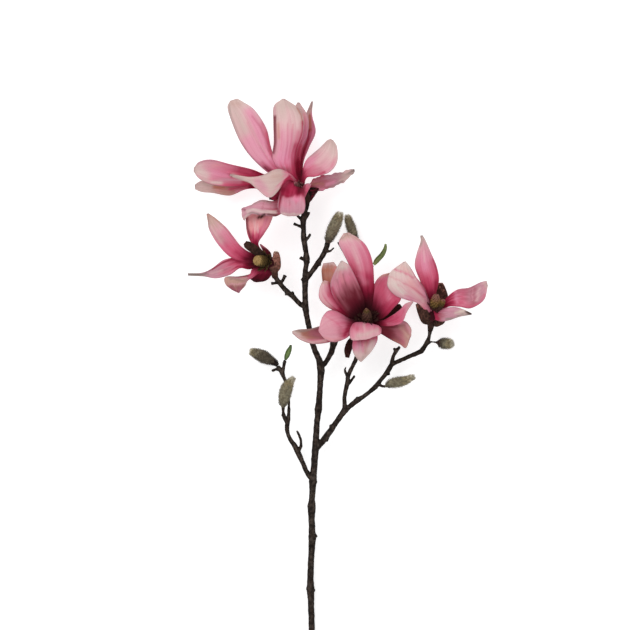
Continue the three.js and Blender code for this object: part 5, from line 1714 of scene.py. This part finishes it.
CENTRE_TEPALS = {
    "tall_back": Tepal(
        left=((362, 320, 43), (357, 299, 55), (353.5, 277, 66), (348, 263, 73), (342, 251, 77),
            (338.8, 242, 77)),
        right=((370, 318, 43), (374, 297, 54), (374, 280, 64), (372.5, 262, 72), (367, 247, 76),
            (359, 238.5, 76)),
        tip=(346, 233, 76), cup=-4, blunt=5, roll=(0.8, 1.0),
        tones=((0, DARK), (0.14, WINE), (0.24, GARNET), (0.34, RUBY), (0.46, CERISE), (0.6, PINK),
            (0.76, ROSE), (0.9, BLUSH), (1, PEACH)),
        strokes=((PINK, 6, ((364, 252), (368, 268))),
            (CERISE, 1.6, ((362, 242), (369, 255), (372, 270), (373, 280)), 0.7),
            (ROSE, 6, ((350, 246), (356, 258), (360, 268))), (BLUSH, 3, ((353, 248), (358, 262)), 0.3),
            (RUBY, 3, ((372, 278), (370, 290)), 0.6),
            (CERISE, 1.2, ((345, 250), (351, 264), (356, 274)), 0.4),
            (PINK, 5, ((360, 276), (365, 282)), 0.6), (PEACH, 3, ((342, 238), (350, 236), (359, 239)), 0.6),
            (MAUVE, 2, ((341, 246), (347, 259)), 0.4), (ASH, 1, ((339.6, 240), (345, 235.4), (352, 234.4)))),
    ),
    "tall_front": Tepal(
        left=((360, 322, 44), (346, 313, 56), (334, 298, 68), (330.5, 284, 77), (335, 271, 83)),
        right=((366, 318, 45), (364, 299, 61), (359, 285, 72), (353, 272, 79), (349, 265, 83)),
        tip=(341.5, 261, 84), cup=4,
        creases=((2, ((343.5, 270), (347, 288), (351, 300)), 0.6), (2, ((338, 275), (342, 292)), 0.4)),
        tones=((0, DARK), (0.13, WINE), (0.22, MAROON), (0.32, MAROON), (0.42, LILAC), (0.5, PINK),
            (0.66, ROSE), (0.82, BLUSH), (1, CREAM)),
        strokes=((MAROON, 4, ((352, 297), (357, 305))), (LILAC, 4, ((345, 285), (350, 296)), 0.4),
            (MAROON, 1.1, ((343.5, 274), (347, 288), (351, 301)), 0.45),
            (DUSK, 1.2, ((337, 280), (341, 292), (345, 300)), 0.45),
            (ROSE, 2.4, ((334, 281), (337, 290)), 0.4), (SALMON, 3, ((340, 272), (343, 281)), 0.4),
            (RUBY, 1.8, ((331.5, 288), (336, 301), (345, 313)), 0.75),
            (CREAM, 3.6, ((338, 267), (345, 267)), 0.8), (LILAC, 2, ((350, 274), (356, 287), (360, 298))),
            (LILAC, 3, ((343, 302), (348, 309)))),
    ),
    "upper_left": Tepal(
        left=((360, 323, 41), (338, 308, 47), (325, 290, 52), (321.5, 272, 55)),
        right=((363, 319, 41), (350, 300, 51), (341, 283, 56), (338.5, 270, 58)),
        tip=(328.5, 262.6, 58), cup=3, blunt=11,
        tones=((0, DARK), (0.25, RUBY), (0.45, BRICK), (0.8, CLAY), (1, BLUSH)),
        strokes=((CREAM, 2, ((321, 263.6), (329, 262.6), (338, 265)), 0.85),
            (CLAY, 5, ((326, 276), (331, 273)), 0.8), (PEACH, 4, ((326, 275), (330, 274))),
            (SALMON, 3, ((335, 268), (338, 274)), 0.6), (PEACH, 2.6, ((325, 267), (332, 267)), 0.6),
            (BRACT, 1, ((322.4, 270), (323.4, 281)), 0.4)),
    ),
    "left_round": Tepal(
        left=((360, 325, 42), (340, 314, 52), (326.4, 306.6, 58), (319.2, 298, 61), (319.5, 288.5, 62)),
        right=((362, 320, 43), (348, 309, 53), (336, 296, 60), (331, 287, 63), (329, 282, 63)),
        tip=(323.4, 281.2, 63), cup=-3, roll=(0.9, 0.4),
        tones=((0, DARK), (0.18, GARNET), (0.34, RUBY), (0.48, CERISE), (0.6, PINK), (0.76, ROSE),
            (0.9, BLUSH), (1, BLUSH)),
        strokes=((BLUSH, 6, ((321, 288), (322, 300), (328, 306)), 0.6),
            (RUBY, 2.4, ((329.4, 283), (332, 293), (339, 304), (350, 316)), 0.95),
            (GARNET, 2.6, ((338, 304), (346, 313)), 0.7), (PINK, 3, ((329, 298), (336, 307))),
            (ROSE, 1.2, ((325, 285), (326, 296), (332, 305))), (PEACH, 2, ((322, 282.5), (328, 283)), 0.6)),
    ),
    "lower_left": Tepal(
        left=((363, 327, 43), (353, 333, 55), (346, 338.5, 63), (335, 342, 67), (325, 339, 68)),
        right=((361, 321, 44), (349, 318, 56), (337, 311, 64), (328, 311, 68), (321.5, 319, 69)),
        tip=(319, 331, 67), cup=-4, roll=(1.2, 1.0),
        tones=((0, GARNET), (0.12, RUBY), (0.26, CERISE), (0.42, PINK), (0.66, ROSE), (1, ROSE)),
        strokes=((PINK, 4, ((328, 312), (340, 313), (347, 318)), 0.8),
            (CERISE, 1.4, ((326, 316), (336, 322), (344, 331)), 0.35), (ROSE, 7, ((325, 327), (333, 333))),
            (LILAC, 3.6, ((340, 329), (341, 336))), (RUBY, 4.4, ((352, 321), (349, 329), (345, 335)), 0.9),
            (GARNET, 2.6, ((349, 325), (346, 334)), 0.6), (WINE, 3, ((355, 320), (352, 330)), 0.7),
            (SALMON, 2.4, ((325, 338), (334, 341), (341, 340))), (DUSK, 1.1, ((341, 340), (335, 341.6)))),
    ),
    "far_left": Tepal(
        left=((362, 328, 41), (342, 338, 45), (326, 342.8, 49), (312, 343.6, 51), (300, 339.4, 54)),
        right=((361, 323, 42), (342, 322, 48), (322, 325.8, 53), (310, 329, 56), (300, 329.6, 58)),
        tip=(292.3, 332.3, 58), cup=3, roll=(-0.8, 0.8),
        tones=((0, DARK), (0.3, RUBY), (0.5, DUSK), (0.7, BRICK), (0.86, PEACH), (1, BEIGE)),
        strokes=((BRICK, 3, ((303, 333), (311, 334))), (LILAC, 4, ((312, 333), (320, 334)), 0.7),
            (BLUSH, 2.4, ((293, 332.6), (301, 338.5), (312, 342), (326, 341.5)), 0.9),
            (PINK, 1.6, ((308, 339.6), (322, 340)), 0.6), (CREAM, 2.6, ((294, 332), (299, 334)), 0.6),
            (ASH, 1.2, ((295, 330), (306, 330.6), (319, 326.6)), 0.75)),
    ),
    "low_lip": Tepal(
        left=((371, 325, 43), (380, 326, 56), (381.5, 331, 63), (379, 335, 65)),
        right=((363, 326, 43), (353, 323, 55), (349.5, 331, 63), (352, 340, 65)),
        tip=(366, 338.5, 64), cup=-2, depth=0.15, roll=(0.8, 0.8),
        tones=((0, RUBY), (0.2, CERISE), (0.36, PINK), (0.6, ROSE), (1, BLUSH)),
        strokes=((CERISE, 4, ((352, 325), (357, 329)), 0.7), (PINK, 4, ((351, 331), (353, 336))),
            (BLUSH, 2.4, ((364, 324), (366, 334))), (PINK, 1.4, ((361, 323), (363, 333)), 0.4),
            (BEIGE, 3, ((358, 336), (368, 333.5), (378, 330)), 0.6),
            (CERISE, 2, ((380, 325), (381.5, 332)), 0.6), (PINK, 2, ((372, 325), (378, 326)))),
    ),
    "low_pointed": Tepal(
        left=((371, 327, 41), (376.5, 332.5, 47), (377.3, 340.5, 51), (372, 351, 50), (366.5, 357, 47)),
        right=((364, 328, 41), (355, 335, 48), (352.3, 345, 52), (353.6, 353.5, 50), (357, 358.8, 47)),
        tip=(361.2, 361.6, 45), cup=-3, blunt=1.6, roll=(0.8, 0.8),
        creases=((2, ((363, 340), (364, 354)), -0.7),),
        tones=((0, DARK), (0.24, RUBY), (0.34, CERISE), (0.46, MAUVE), (0.64, BEIGE), (0.82, BEIGE),
            (1, CREAM)),
        strokes=((ORCHID, 3.4, ((355, 342), (357, 349))),
            (MAROON, 1.6, ((358, 339), (370, 337.4), (377, 335)), 0.85),
            (PEACH, 3, ((366, 343), (366, 351)), 0.6), (BLUSH, 3, ((356, 352), (360, 357)), 0.6),
            (CREAM, 3.4, ((373, 342), (370, 350)), 0.7), (PINK, 1.2, ((362.5, 341), (363, 352)), 0.6),
            (CERISE, 1.2, ((353.6, 341), (354, 350)), 0.4)),
    ),
    "right_narrow": Tepal(
        left=((371, 321, 42), (383, 320, 52), (391, 316, 57), (400, 309.5, 60), (405, 304, 61)),
        right=((372, 324, 42), (384, 326, 51), (394, 325.5, 53), (402.5, 322, 55), (407, 312, 59)),
        tip=(413, 301.5, 61),
        tones=((0, DARK), (0.16, GARNET), (0.28, RUBY), (0.5, CERISE), (0.75, PINK), (1, BEIGE)),
        strokes=((CERISE, 3, ((386, 322), (396, 317), (403, 311))),
            (RUBY, 3, ((388, 322), (397, 317)), 0.35),
            (ROSE, 1.8, ((405, 320), (407.6, 310), (412, 303)), 0.7), (PINK, 2, ((388, 324), (400, 323))),
            (RUBY, 2, ((384, 321), (392, 316)), 0.6)),
    ),
    "right_dusky": Tepal(
        left=((371, 322, 41), (382, 324.4, 46), (394, 323.6, 47), (404.5, 321, 47), (411, 328, 46)),
        right=((370, 328, 40), (382, 334.5, 42), (391, 340, 42), (400, 344.5, 42), (406, 348, 41)),
        tip=(411, 336, 43), cup=2,
        tones=((0, DARK), (0.16, MAROON), (0.34, MAROON), (0.52, DUSK), (0.66, LILAC), (0.84, PEACH),
            (1, LILAC)),
        strokes=((MAROON, 3, ((384, 329), (394, 333)), 0.6), (PEACH, 5, ((403, 328), (406, 336)), 0.6),
            (ROSE, 1.4, ((407, 325), (410, 333)), 0.6), (BRICK, 2.4, ((394, 340), (402, 345))),
            (MAROON, 1.4, ((386, 327), (397, 325.4)), 0.6), (MAUVE, 2, ((400, 323), (406, 322.5))),
            (LILAC, 3, ((396, 331), (400, 335)))),
    ),
    "upper_right": Tepal(
        left=((367, 318, 43), (371.5, 304, 51), (371.5, 292, 57), (376, 281, 61), (382, 275, 62)),
        right=((373, 322, 42), (384, 318, 50), (394, 308, 55), (401, 299, 58), (398, 286, 60)),
        tip=(390, 273.5, 61), cup=3, roll=(0.6, 0.6),
        tones=((0, DARK), (0.16, GARNET), (0.28, RUBY), (0.46, CERISE), (0.66, CERISE), (0.84, PINK),
            (1, PEACH)),
        # the pink stroke on the next line is a painted highlight
        strokes=((CERISE, 6, ((379, 288), (382, 302)), 0.8), (PINK, 4, ((387, 284), (389, 298)), 0.7),
            (LILAC, 3, ((376, 284), (380, 278))), (PEACH, 2, ((377, 278), (384, 274.6), (391, 275)), 0.7),
            (RUBY, 3, ((396, 302), (388, 311)), 0.8), (RUBY, 4, ((384, 306), (380, 312)), 0.6),
            (GARNET, 3, ((384, 315), (378, 317)), 0.6)),
    ),
}
CENTRE_CALYX = Calyx(
    neck=Limb(((358.8, 350.8, 29.8, 2.5), (361, 340, 33, 3), (363.5, 332, 36, 4.2), (365, 326, 38.4, 4.6))),
    tones=((0, SOOT), (0.4, UMBER), (0.7, DARK), (1, UMBER)),
    scales=(
        Scale(
            left=((364, 334, 34), (355.3, 342.5, 38), (351.4, 351, 38)),
            right=((358, 332, 35), (348, 340, 39), (344.3, 349.5, 39)),
            tip=(347.3, 357.6, 37), blunt=4,
        ),
        Scale(
            left=((364, 326, 36), (376, 317, 34), (387, 309, 38), (395, 304.5, 43)),
            right=((367, 331, 36), (381, 324, 34), (392, 316, 38), (399, 310.5, 43)),
            tip=(401.5, 306, 44),
        ),
    ),
)
CENTRE_HEART = Heart(
    cone=Limb(((367, 321, 47.5, 5), (367, 318, 53, 5), (366.7, 313, 60, 3.9), (366.4, 308.8, 64, 1.3)),
        knobs=0.1, crowd=7),
    tones=((0, SOOT), (0.4, UMBER), (0.7, BRACT), (0.9, MOSS), (1, RUSSET)),
    stamens=80, length=12, spread=0.8,
)
RIGHT_TEPALS = {
    "broad_left": Tepal(
        left=((430, 318, 39), (419.5, 304.5, 50), (407, 300.3, 59), (395.5, 295.6, 66), (388, 287, 70),
            (388, 279, 70), (391.2, 271.2, 69)),
        right=((433, 312, 39), (428.6, 298, 48), (425.2, 289.4, 55), (421, 283, 60), (416.5, 277.5, 64),
            (413, 271.5, 66), (409.5, 266, 67)),
        tip=(404.8, 261.6, 66), cup=-4, blunt=1.6, roll=(0.7, 0.5),
        creases=((2.2, ((396, 270), (405, 273), (414, 278)), 1.0),
            (2, ((391, 275), (402, 281.5), (414, 289), (424, 297)), 0.8)),
        tones=((0, CERISE), (0.08, PINK), (0.2, ORCHID), (0.4, ROSE), (0.6, BLUSH), (0.82, CREAM),
            (1, CREAM)),
        strokes=((SALMON, 6, ((424, 303), (417, 292), (411, 283))),
            (BLUSH, 5, ((413, 293), (421, 301)), 0.75),
            (PINK, 1.6, ((395, 269.5), (404, 272), (413, 277.5)), 0.8),
            (SALMON, 4, ((402, 267), (409, 272)), 0.4),
            (CERISE, 1, ((389, 276.5), (401, 281.5), (414, 288), (425, 297))),
            (CREAM, 7.5, ((391, 283), (403, 291)), 0.9),
            (PINK, 1.3, ((392, 293.5), (400, 299), (408, 301)), 0.55),
            (PINK, 1, ((398, 285), (410, 292), (421, 301)), 0.4),
            (CERISE, 1, ((411, 267), (417, 279), (425, 291))),
            (MAROON, 1, ((421, 283), (425.4, 289.4), (428.6, 298)), 0.8),
            (PINK, 1, ((404, 295), (415, 298.6), (424, 304)))),
    ),
    "upright": Tepal(
        left=((431, 315, 39), (427, 297, 45), (420.2, 281, 51), (415, 266, 55), (417, 253, 56),
            (420.5, 242, 55)),
        right=((436, 313, 39), (436, 295, 43), (439, 280, 48), (436.5, 266, 52), (431, 253, 55),
            (426, 241.5, 55)),
        tip=(421.5, 235.5, 54), cup=-4, roll=(0.6, 1.0),
        tones=((0, DARK), (0.12, GARNET), (0.24, RUBY), (0.38, CERISE), (0.54, PINK), (0.72, ROSE),
            (0.88, BEIGE), (1, ASH)),
        strokes=((ORCHID, 5, ((424, 256), (425, 268))), (BLUSH, 1.4, ((424, 252), (425, 262)), 0.4),
            (RUBY, 2.2, ((434, 260), (437.5, 271), (438, 282)), 0.7), (CERISE, 3, ((431, 262), (434, 276))),
            (GARNET, 4, ((436, 283), (436, 289)), 0.7),
            (BLUSH, 1.6, ((419, 249), (415, 258), (414.5, 268)), 0.6),
            (BLUSH, 1.2, ((415, 270), (417, 276), (420, 281)), 0.8),
            (RUBY, 4, ((427, 279), (430, 286)), 0.45), (ASH, 1.2, ((420, 246), (422.6, 240)))),
    ),
    "right_long": Tepal(
        left=((434, 313, 40), (446.5, 298, 47), (457, 290, 50), (469, 287.8, 50), (480, 282.6, 50)),
        right=((435, 318, 39), (447, 307.5, 44), (459, 307, 45), (471, 308.4, 46), (484, 300, 47)),
        tip=(487.2, 283.2, 49), cup=3, blunt=5, roll=(0.7, 0.8),
        tones=((0, DARK), (0.14, GARNET), (0.24, RUBY), (0.34, CERISE), (0.46, PINK), (0.62, LILAC),
            (0.78, MAUVE), (0.92, ROSE), (1, BEIGE)),
        strokes=((BLUSH, 2.4, ((479, 288), (477, 300)), 0.6), (CERISE, 3, ((463, 290), (462, 302)), 0.4),
            (ORCHID, 2.4, ((455.8, 292), (456.6, 303)), 0.6), (MAUVE, 3, ((470, 288), (469, 300))),
            (ROSE, 1, ((473, 288), (472, 300))),
            (CERISE, 1.8, ((462, 307.6), (472, 307), (480, 303), (485, 295)), 0.7),
            (LILAC, 1.3, ((457, 290), (468, 288.6)), 0.6), (BEIGE, 2.5, ((484, 283), (487, 286)), 0.6)),
    ),
    "right_low": Tepal(
        left=((434, 308.4, 44), (444.6, 308, 51), (455, 307, 55), (464, 310, 55)),
        right=((433, 319, 40), (441, 321.5, 47), (450, 320, 51), (460, 316.5, 52)),
        tip=(471.3, 314.2, 50), cup=-2, blunt=1.4, roll=(0.5, 0.5),
        tones=((0, GARNET), (0.12, RUBY), (0.22, LILAC), (0.36, MAUVE), (0.6, MAUVE), (0.8, BEIGE),
            (0.9, ASH), (1, UMBER)),
        strokes=((ORCHID, 2.6, ((440, 311), (450, 309))),
            (RUBY, 2.2, ((433.5, 309), (435.6, 315), (438, 319)), 0.8),
            (ASH, 1.2, ((446, 319.5), (456, 317.8), (463, 314)), 0.7),
            (DOWN, 2, ((456, 313), (463, 311.6))), (UMBER, 1.3, ((466, 312), (471, 314)), 0.9)),
    ),
    "resting": Tepal(
        left=((429, 318, 36), (417, 301.5, 33), (405, 297, 25), (396, 289, 14), (393, 280, 5)),
        right=((433, 314, 36), (424.5, 297.5, 33), (418.5, 286.5, 25), (412, 277, 14), (404.5, 271, 5)),
        tip=(397, 271, 1.2), cup=3,
        tones=((0, WINE), (0.25, CERISE), (0.5, PINK), (0.8, BLUSH), (1, BEIGE)),
    ),
}
RIGHT_CALYX = Calyx(
    neck=Limb(((430.1, 331, 21.8, 2.4), (430.8, 326, 26, 3.4), (431.5, 321.5, 32, 4), (432, 318, 36, 4.2))),
    tones=((0, SOOT), (0.35, UMBER), (0.6, BRACT), (0.8, UMBER), (1, RUSSET)),
    scales=(
        Scale(
            left=((432, 323, 31), (433.5, 308, 33), (434.5, 296, 36), (435.8, 287, 38)),
            right=((436, 323, 31), (445, 308, 33), (448, 297, 36), (445, 287, 38)),
            tip=(440.2, 282.8, 39),
        ),
        Scale(
            left=((430, 325, 30), (422.4, 322.6, 37), (418, 314, 42)),
            right=((434, 322, 32), (431, 317, 43), (426, 308, 45)),
            tip=(417.4, 303.2, 45), cup=-1,
        ),
        Scale(
            left=((432, 319, 33), (437, 318, 43), (443, 319.5, 43)),
            right=((432, 325, 30), (436.5, 326.8, 38), (441.5, 325, 41)),
            tip=(445, 320.8, 42),
        ),
    ),
)
RIGHT_HEART = Heart(
    cone=Limb(((434, 308, 44, 3.6), (434.8, 304.6, 49, 4.6), (435.8, 300, 55, 4.4), (436.2, 295, 58, 2.6)),
        knobs=0.16, crowd=7),
    tones=((0, DARK), (0.3, UMBER), (0.45, MOSS), (0.65, HONEY), (0.85, RUSSET), (1, RUSSET)),
    stamens=40, length=8, spread=0.6,
    stamen_tones=((0, DARK), (0.5, WINE), (1, UMBER)),
    knobs=(
        Limb(((436, 311, 46, 2.6), (440.8, 305, 52, 2.9), (443, 301, 55, 2.3), (443.5, 299.6, 56, 1.2)),
            knobs=0.16, crowd=7),
    ),
)
# each bloom's last strokes are painted shade deep in its throat, round its heart
BLOOMS = (
    Bloom(
        "top_bloom", (300, 188, 43, 6), TOP_CALYX, TOP_HEART, TOP_TEPALS,
        (Stroke(GARNET, 5.4, ((299, 164), (300, 190)), 0.8),
            Stroke(WINE, 4.4, ((301, 172), (299.5, 191)), 0.85)),
    ),
    Bloom(
        "left_bloom", (269, 262, 40, 6), LEFT_CALYX, LEFT_HEART, LEFT_TEPALS,
        (Stroke(WINE, 15, ((257, 260), (264, 262)), 0.7), Stroke(DARK, 9, ((256, 261), (265, 262)), 0.9)),
    ),
    Bloom(
        "centre_bloom", (366, 322, 40, 7), CENTRE_CALYX, CENTRE_HEART, CENTRE_TEPALS,
        (Stroke(WINE, 19, ((359, 307), (368, 306)), 0.85),
            Stroke(DARK, 11, ((354, 317), (366, 306), (377, 317)), 0.95)),
    ),
    Bloom(
        "right_bloom", (432, 316, 38, 5.5), RIGHT_CALYX, RIGHT_HEART, RIGHT_TEPALS,
        (Stroke(WINE, 9, ((434, 298), (438, 304)), 0.8),),
    ),
)
BUDS = (
    Bud(
        "bud_1",
        ((0, BRACT), (0.1, STONE), (0.3, FELT), (0.55, FELT), (0.72, SAND), (0.82, DOWN), (1, DOWN)),
        Limb(((327.6, 242.8, 34, 2.9), (329.2, 238.5, 34.5, 4.1), (331.6, 232.5, 35.2, 5.3),
            (334.4, 226.4, 36, 5.7), (337, 220.6, 36.8, 5.1), (338.8, 216.4, 37.2, 4),
            (339.6, 213.9, 37.4, 2.9), (339.9, 212.4, 37.5, 1.4))),
    ),
    Bud(
        "bud_2",
        ((0, UMBER), (0.15, STONE), (0.35, FELT), (0.55, FELT), (0.7, SAND), (0.84, DOWN), (1, DOWN)),
        Limb(((354.8, 241.4, 13.9, 2.5), (353.9, 237.5, 13.9, 3.7), (352.3, 231.5, 14, 4.3),
            (350.2, 225, 14.2, 4.2), (348.4, 219.4, 14.4, 3.3), (347.5, 216.9, 14.5, 2.3),
            (347.2, 215.6, 14.5, 1.1))),
    ),
    Bud(
        "bud_3",
        ((0, SOOT), (0.1, SOOT), (0.2, UMBER), (0.3, STONE), (0.6, STONE), (0.72, FELT), (0.82, SAND),
            (0.93, DOWN), (1, DOWN)),
        Limb(((277.8, 365.6, 20, 2.2), (275.2, 363, 20.1, 2.5), (272.2, 361, 20.3, 3.6),
            (268.4, 359.3, 20.6, 5), (263.8, 357, 21, 6.2), (258.6, 354.4, 21.4, 5.5),
            (254.2, 352.6, 21.6, 4.1), (251.2, 351.9, 21.6, 2.9), (249.7, 351.8, 21.7, 1.4))),
    ),
    Bud(
        "bud_4",
        ((0, STONE), (0.25, FELT), (0.5, FELT), (0.66, SAND), (0.8, DOWN), (1, DOWN)),
        Limb(((283.2, 407.5, 27.4, 1.9), (283.4, 403, 28.2, 4), (284.2, 397, 29.2, 5.4),
            (285.8, 390.8, 30.2, 6), (288.2, 385, 31, 5), (290.8, 381.2, 31.6, 3.1),
            (292.8, 378.8, 31.9, 2), (293.6, 377.8, 32, 1.1))),
    ),
    Bud(
        "bud_5",
        ((0, STONE), (0.25, FELT), (0.5, FELT), (0.65, SAND), (0.8, DOWN), (1, DOWN)),
        Limb(((385.2, 386.4, 23, 1.4), (388, 384.8, 23.6, 2.6), (391.8, 383.2, 24.2, 4.2),
            (396.8, 382.3, 24.8, 4.9), (402, 381.3, 25.2, 4.6), (406.8, 379.9, 25.6, 3.6),
            (410.6, 378, 25.9, 2.7), (413, 377, 26, 1.9), (413.9, 376.6, 26.1, 0.9))),
    ),
    Bud(
        "bud_6",
        ((0, SOOT), (0.2, BRACT), (0.35, STONE), (0.5, FELT), (0.64, SAND), (0.78, DOWN), (1, DOWN)),
        Limb(((436, 342.3, 24, 1.3), (438.6, 342.6, 24.2, 2), (440.6, 343, 24.4, 3.8),
            (443.6, 343.4, 24.6, 4.8), (447.2, 343.6, 24.9, 5), (450.4, 343.6, 25.3, 4.2),
            (452.2, 343.5, 25.6, 2.6), (452.9, 343.4, 25.7, 1.2))),
    ),
)

LEAVES = (
    Leaf(
        "leaf_left",
        ((0, FERN), (0.4, LEAF), (1, FERN)),
        Blade(
            left=((284.4, 360.2, 21), (284.4, 356, 22), (286.2, 350.5, 23), (288.8, 346.8, 23)),
            right=((286.6, 360.2, 21), (289.4, 356.4, 22), (291.3, 351.2, 23), (291.8, 347.6, 23)),
            tip=(290.9, 345, 23), cup=1,
        ),
    ),
    Leaf(
        "leaf_right",
        ((0, SHOOT), (0.5, LEAF), (1, SHOOT)),
        Blade(
            left=((372.8, 263.6, 17), (375, 258.6, 19), (380, 253.4, 20), (383.4, 248, 20)),
            right=((375, 265.6, 17), (379.6, 261.4, 18), (384.6, 255.4, 19), (386.8, 249, 19)),
            tip=(385.8, 243.8, 19), cup=1,
        ),
    ),
)


# -------------------------------------------------- scene


def finishes() -> Palette:
    """Makes the finish for each of the record's slots."""
    return {
        "bark": BarkFinish().material(),
        "tepal": TepalFinish().material(),
        "calyx": FeltFinish("bract_felt", 0.75, 1500.0, 0.0003, 0.0).material(),
        "heart": FeltFinish("stamen_skin", 0.7, 1900.0, 0.00025, 0.0).material(),
        "bud": FeltFinish("bud_felt", 0.85, 1300.0, 0.00025, 0.1, 0.12).material(),
        "leaf": LeafFinish().material(),
    }


def main() -> None:
    """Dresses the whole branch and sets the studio."""
    logging.basicConfig(level=logging.INFO, format="%(message)s")
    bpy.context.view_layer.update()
    palette = finishes()
    Wood().dress(palette)
    for pieces, first_seed, gap in ((BLOOMS, 7, 40), (BUDS, 301, 9), (LEAVES, 401, 1)):
        for i, piece in enumerate(pieces):
            piece.dress(palette, first_seed + gap * i)
    Studio().build()


if __name__ == "__main__":
    main()
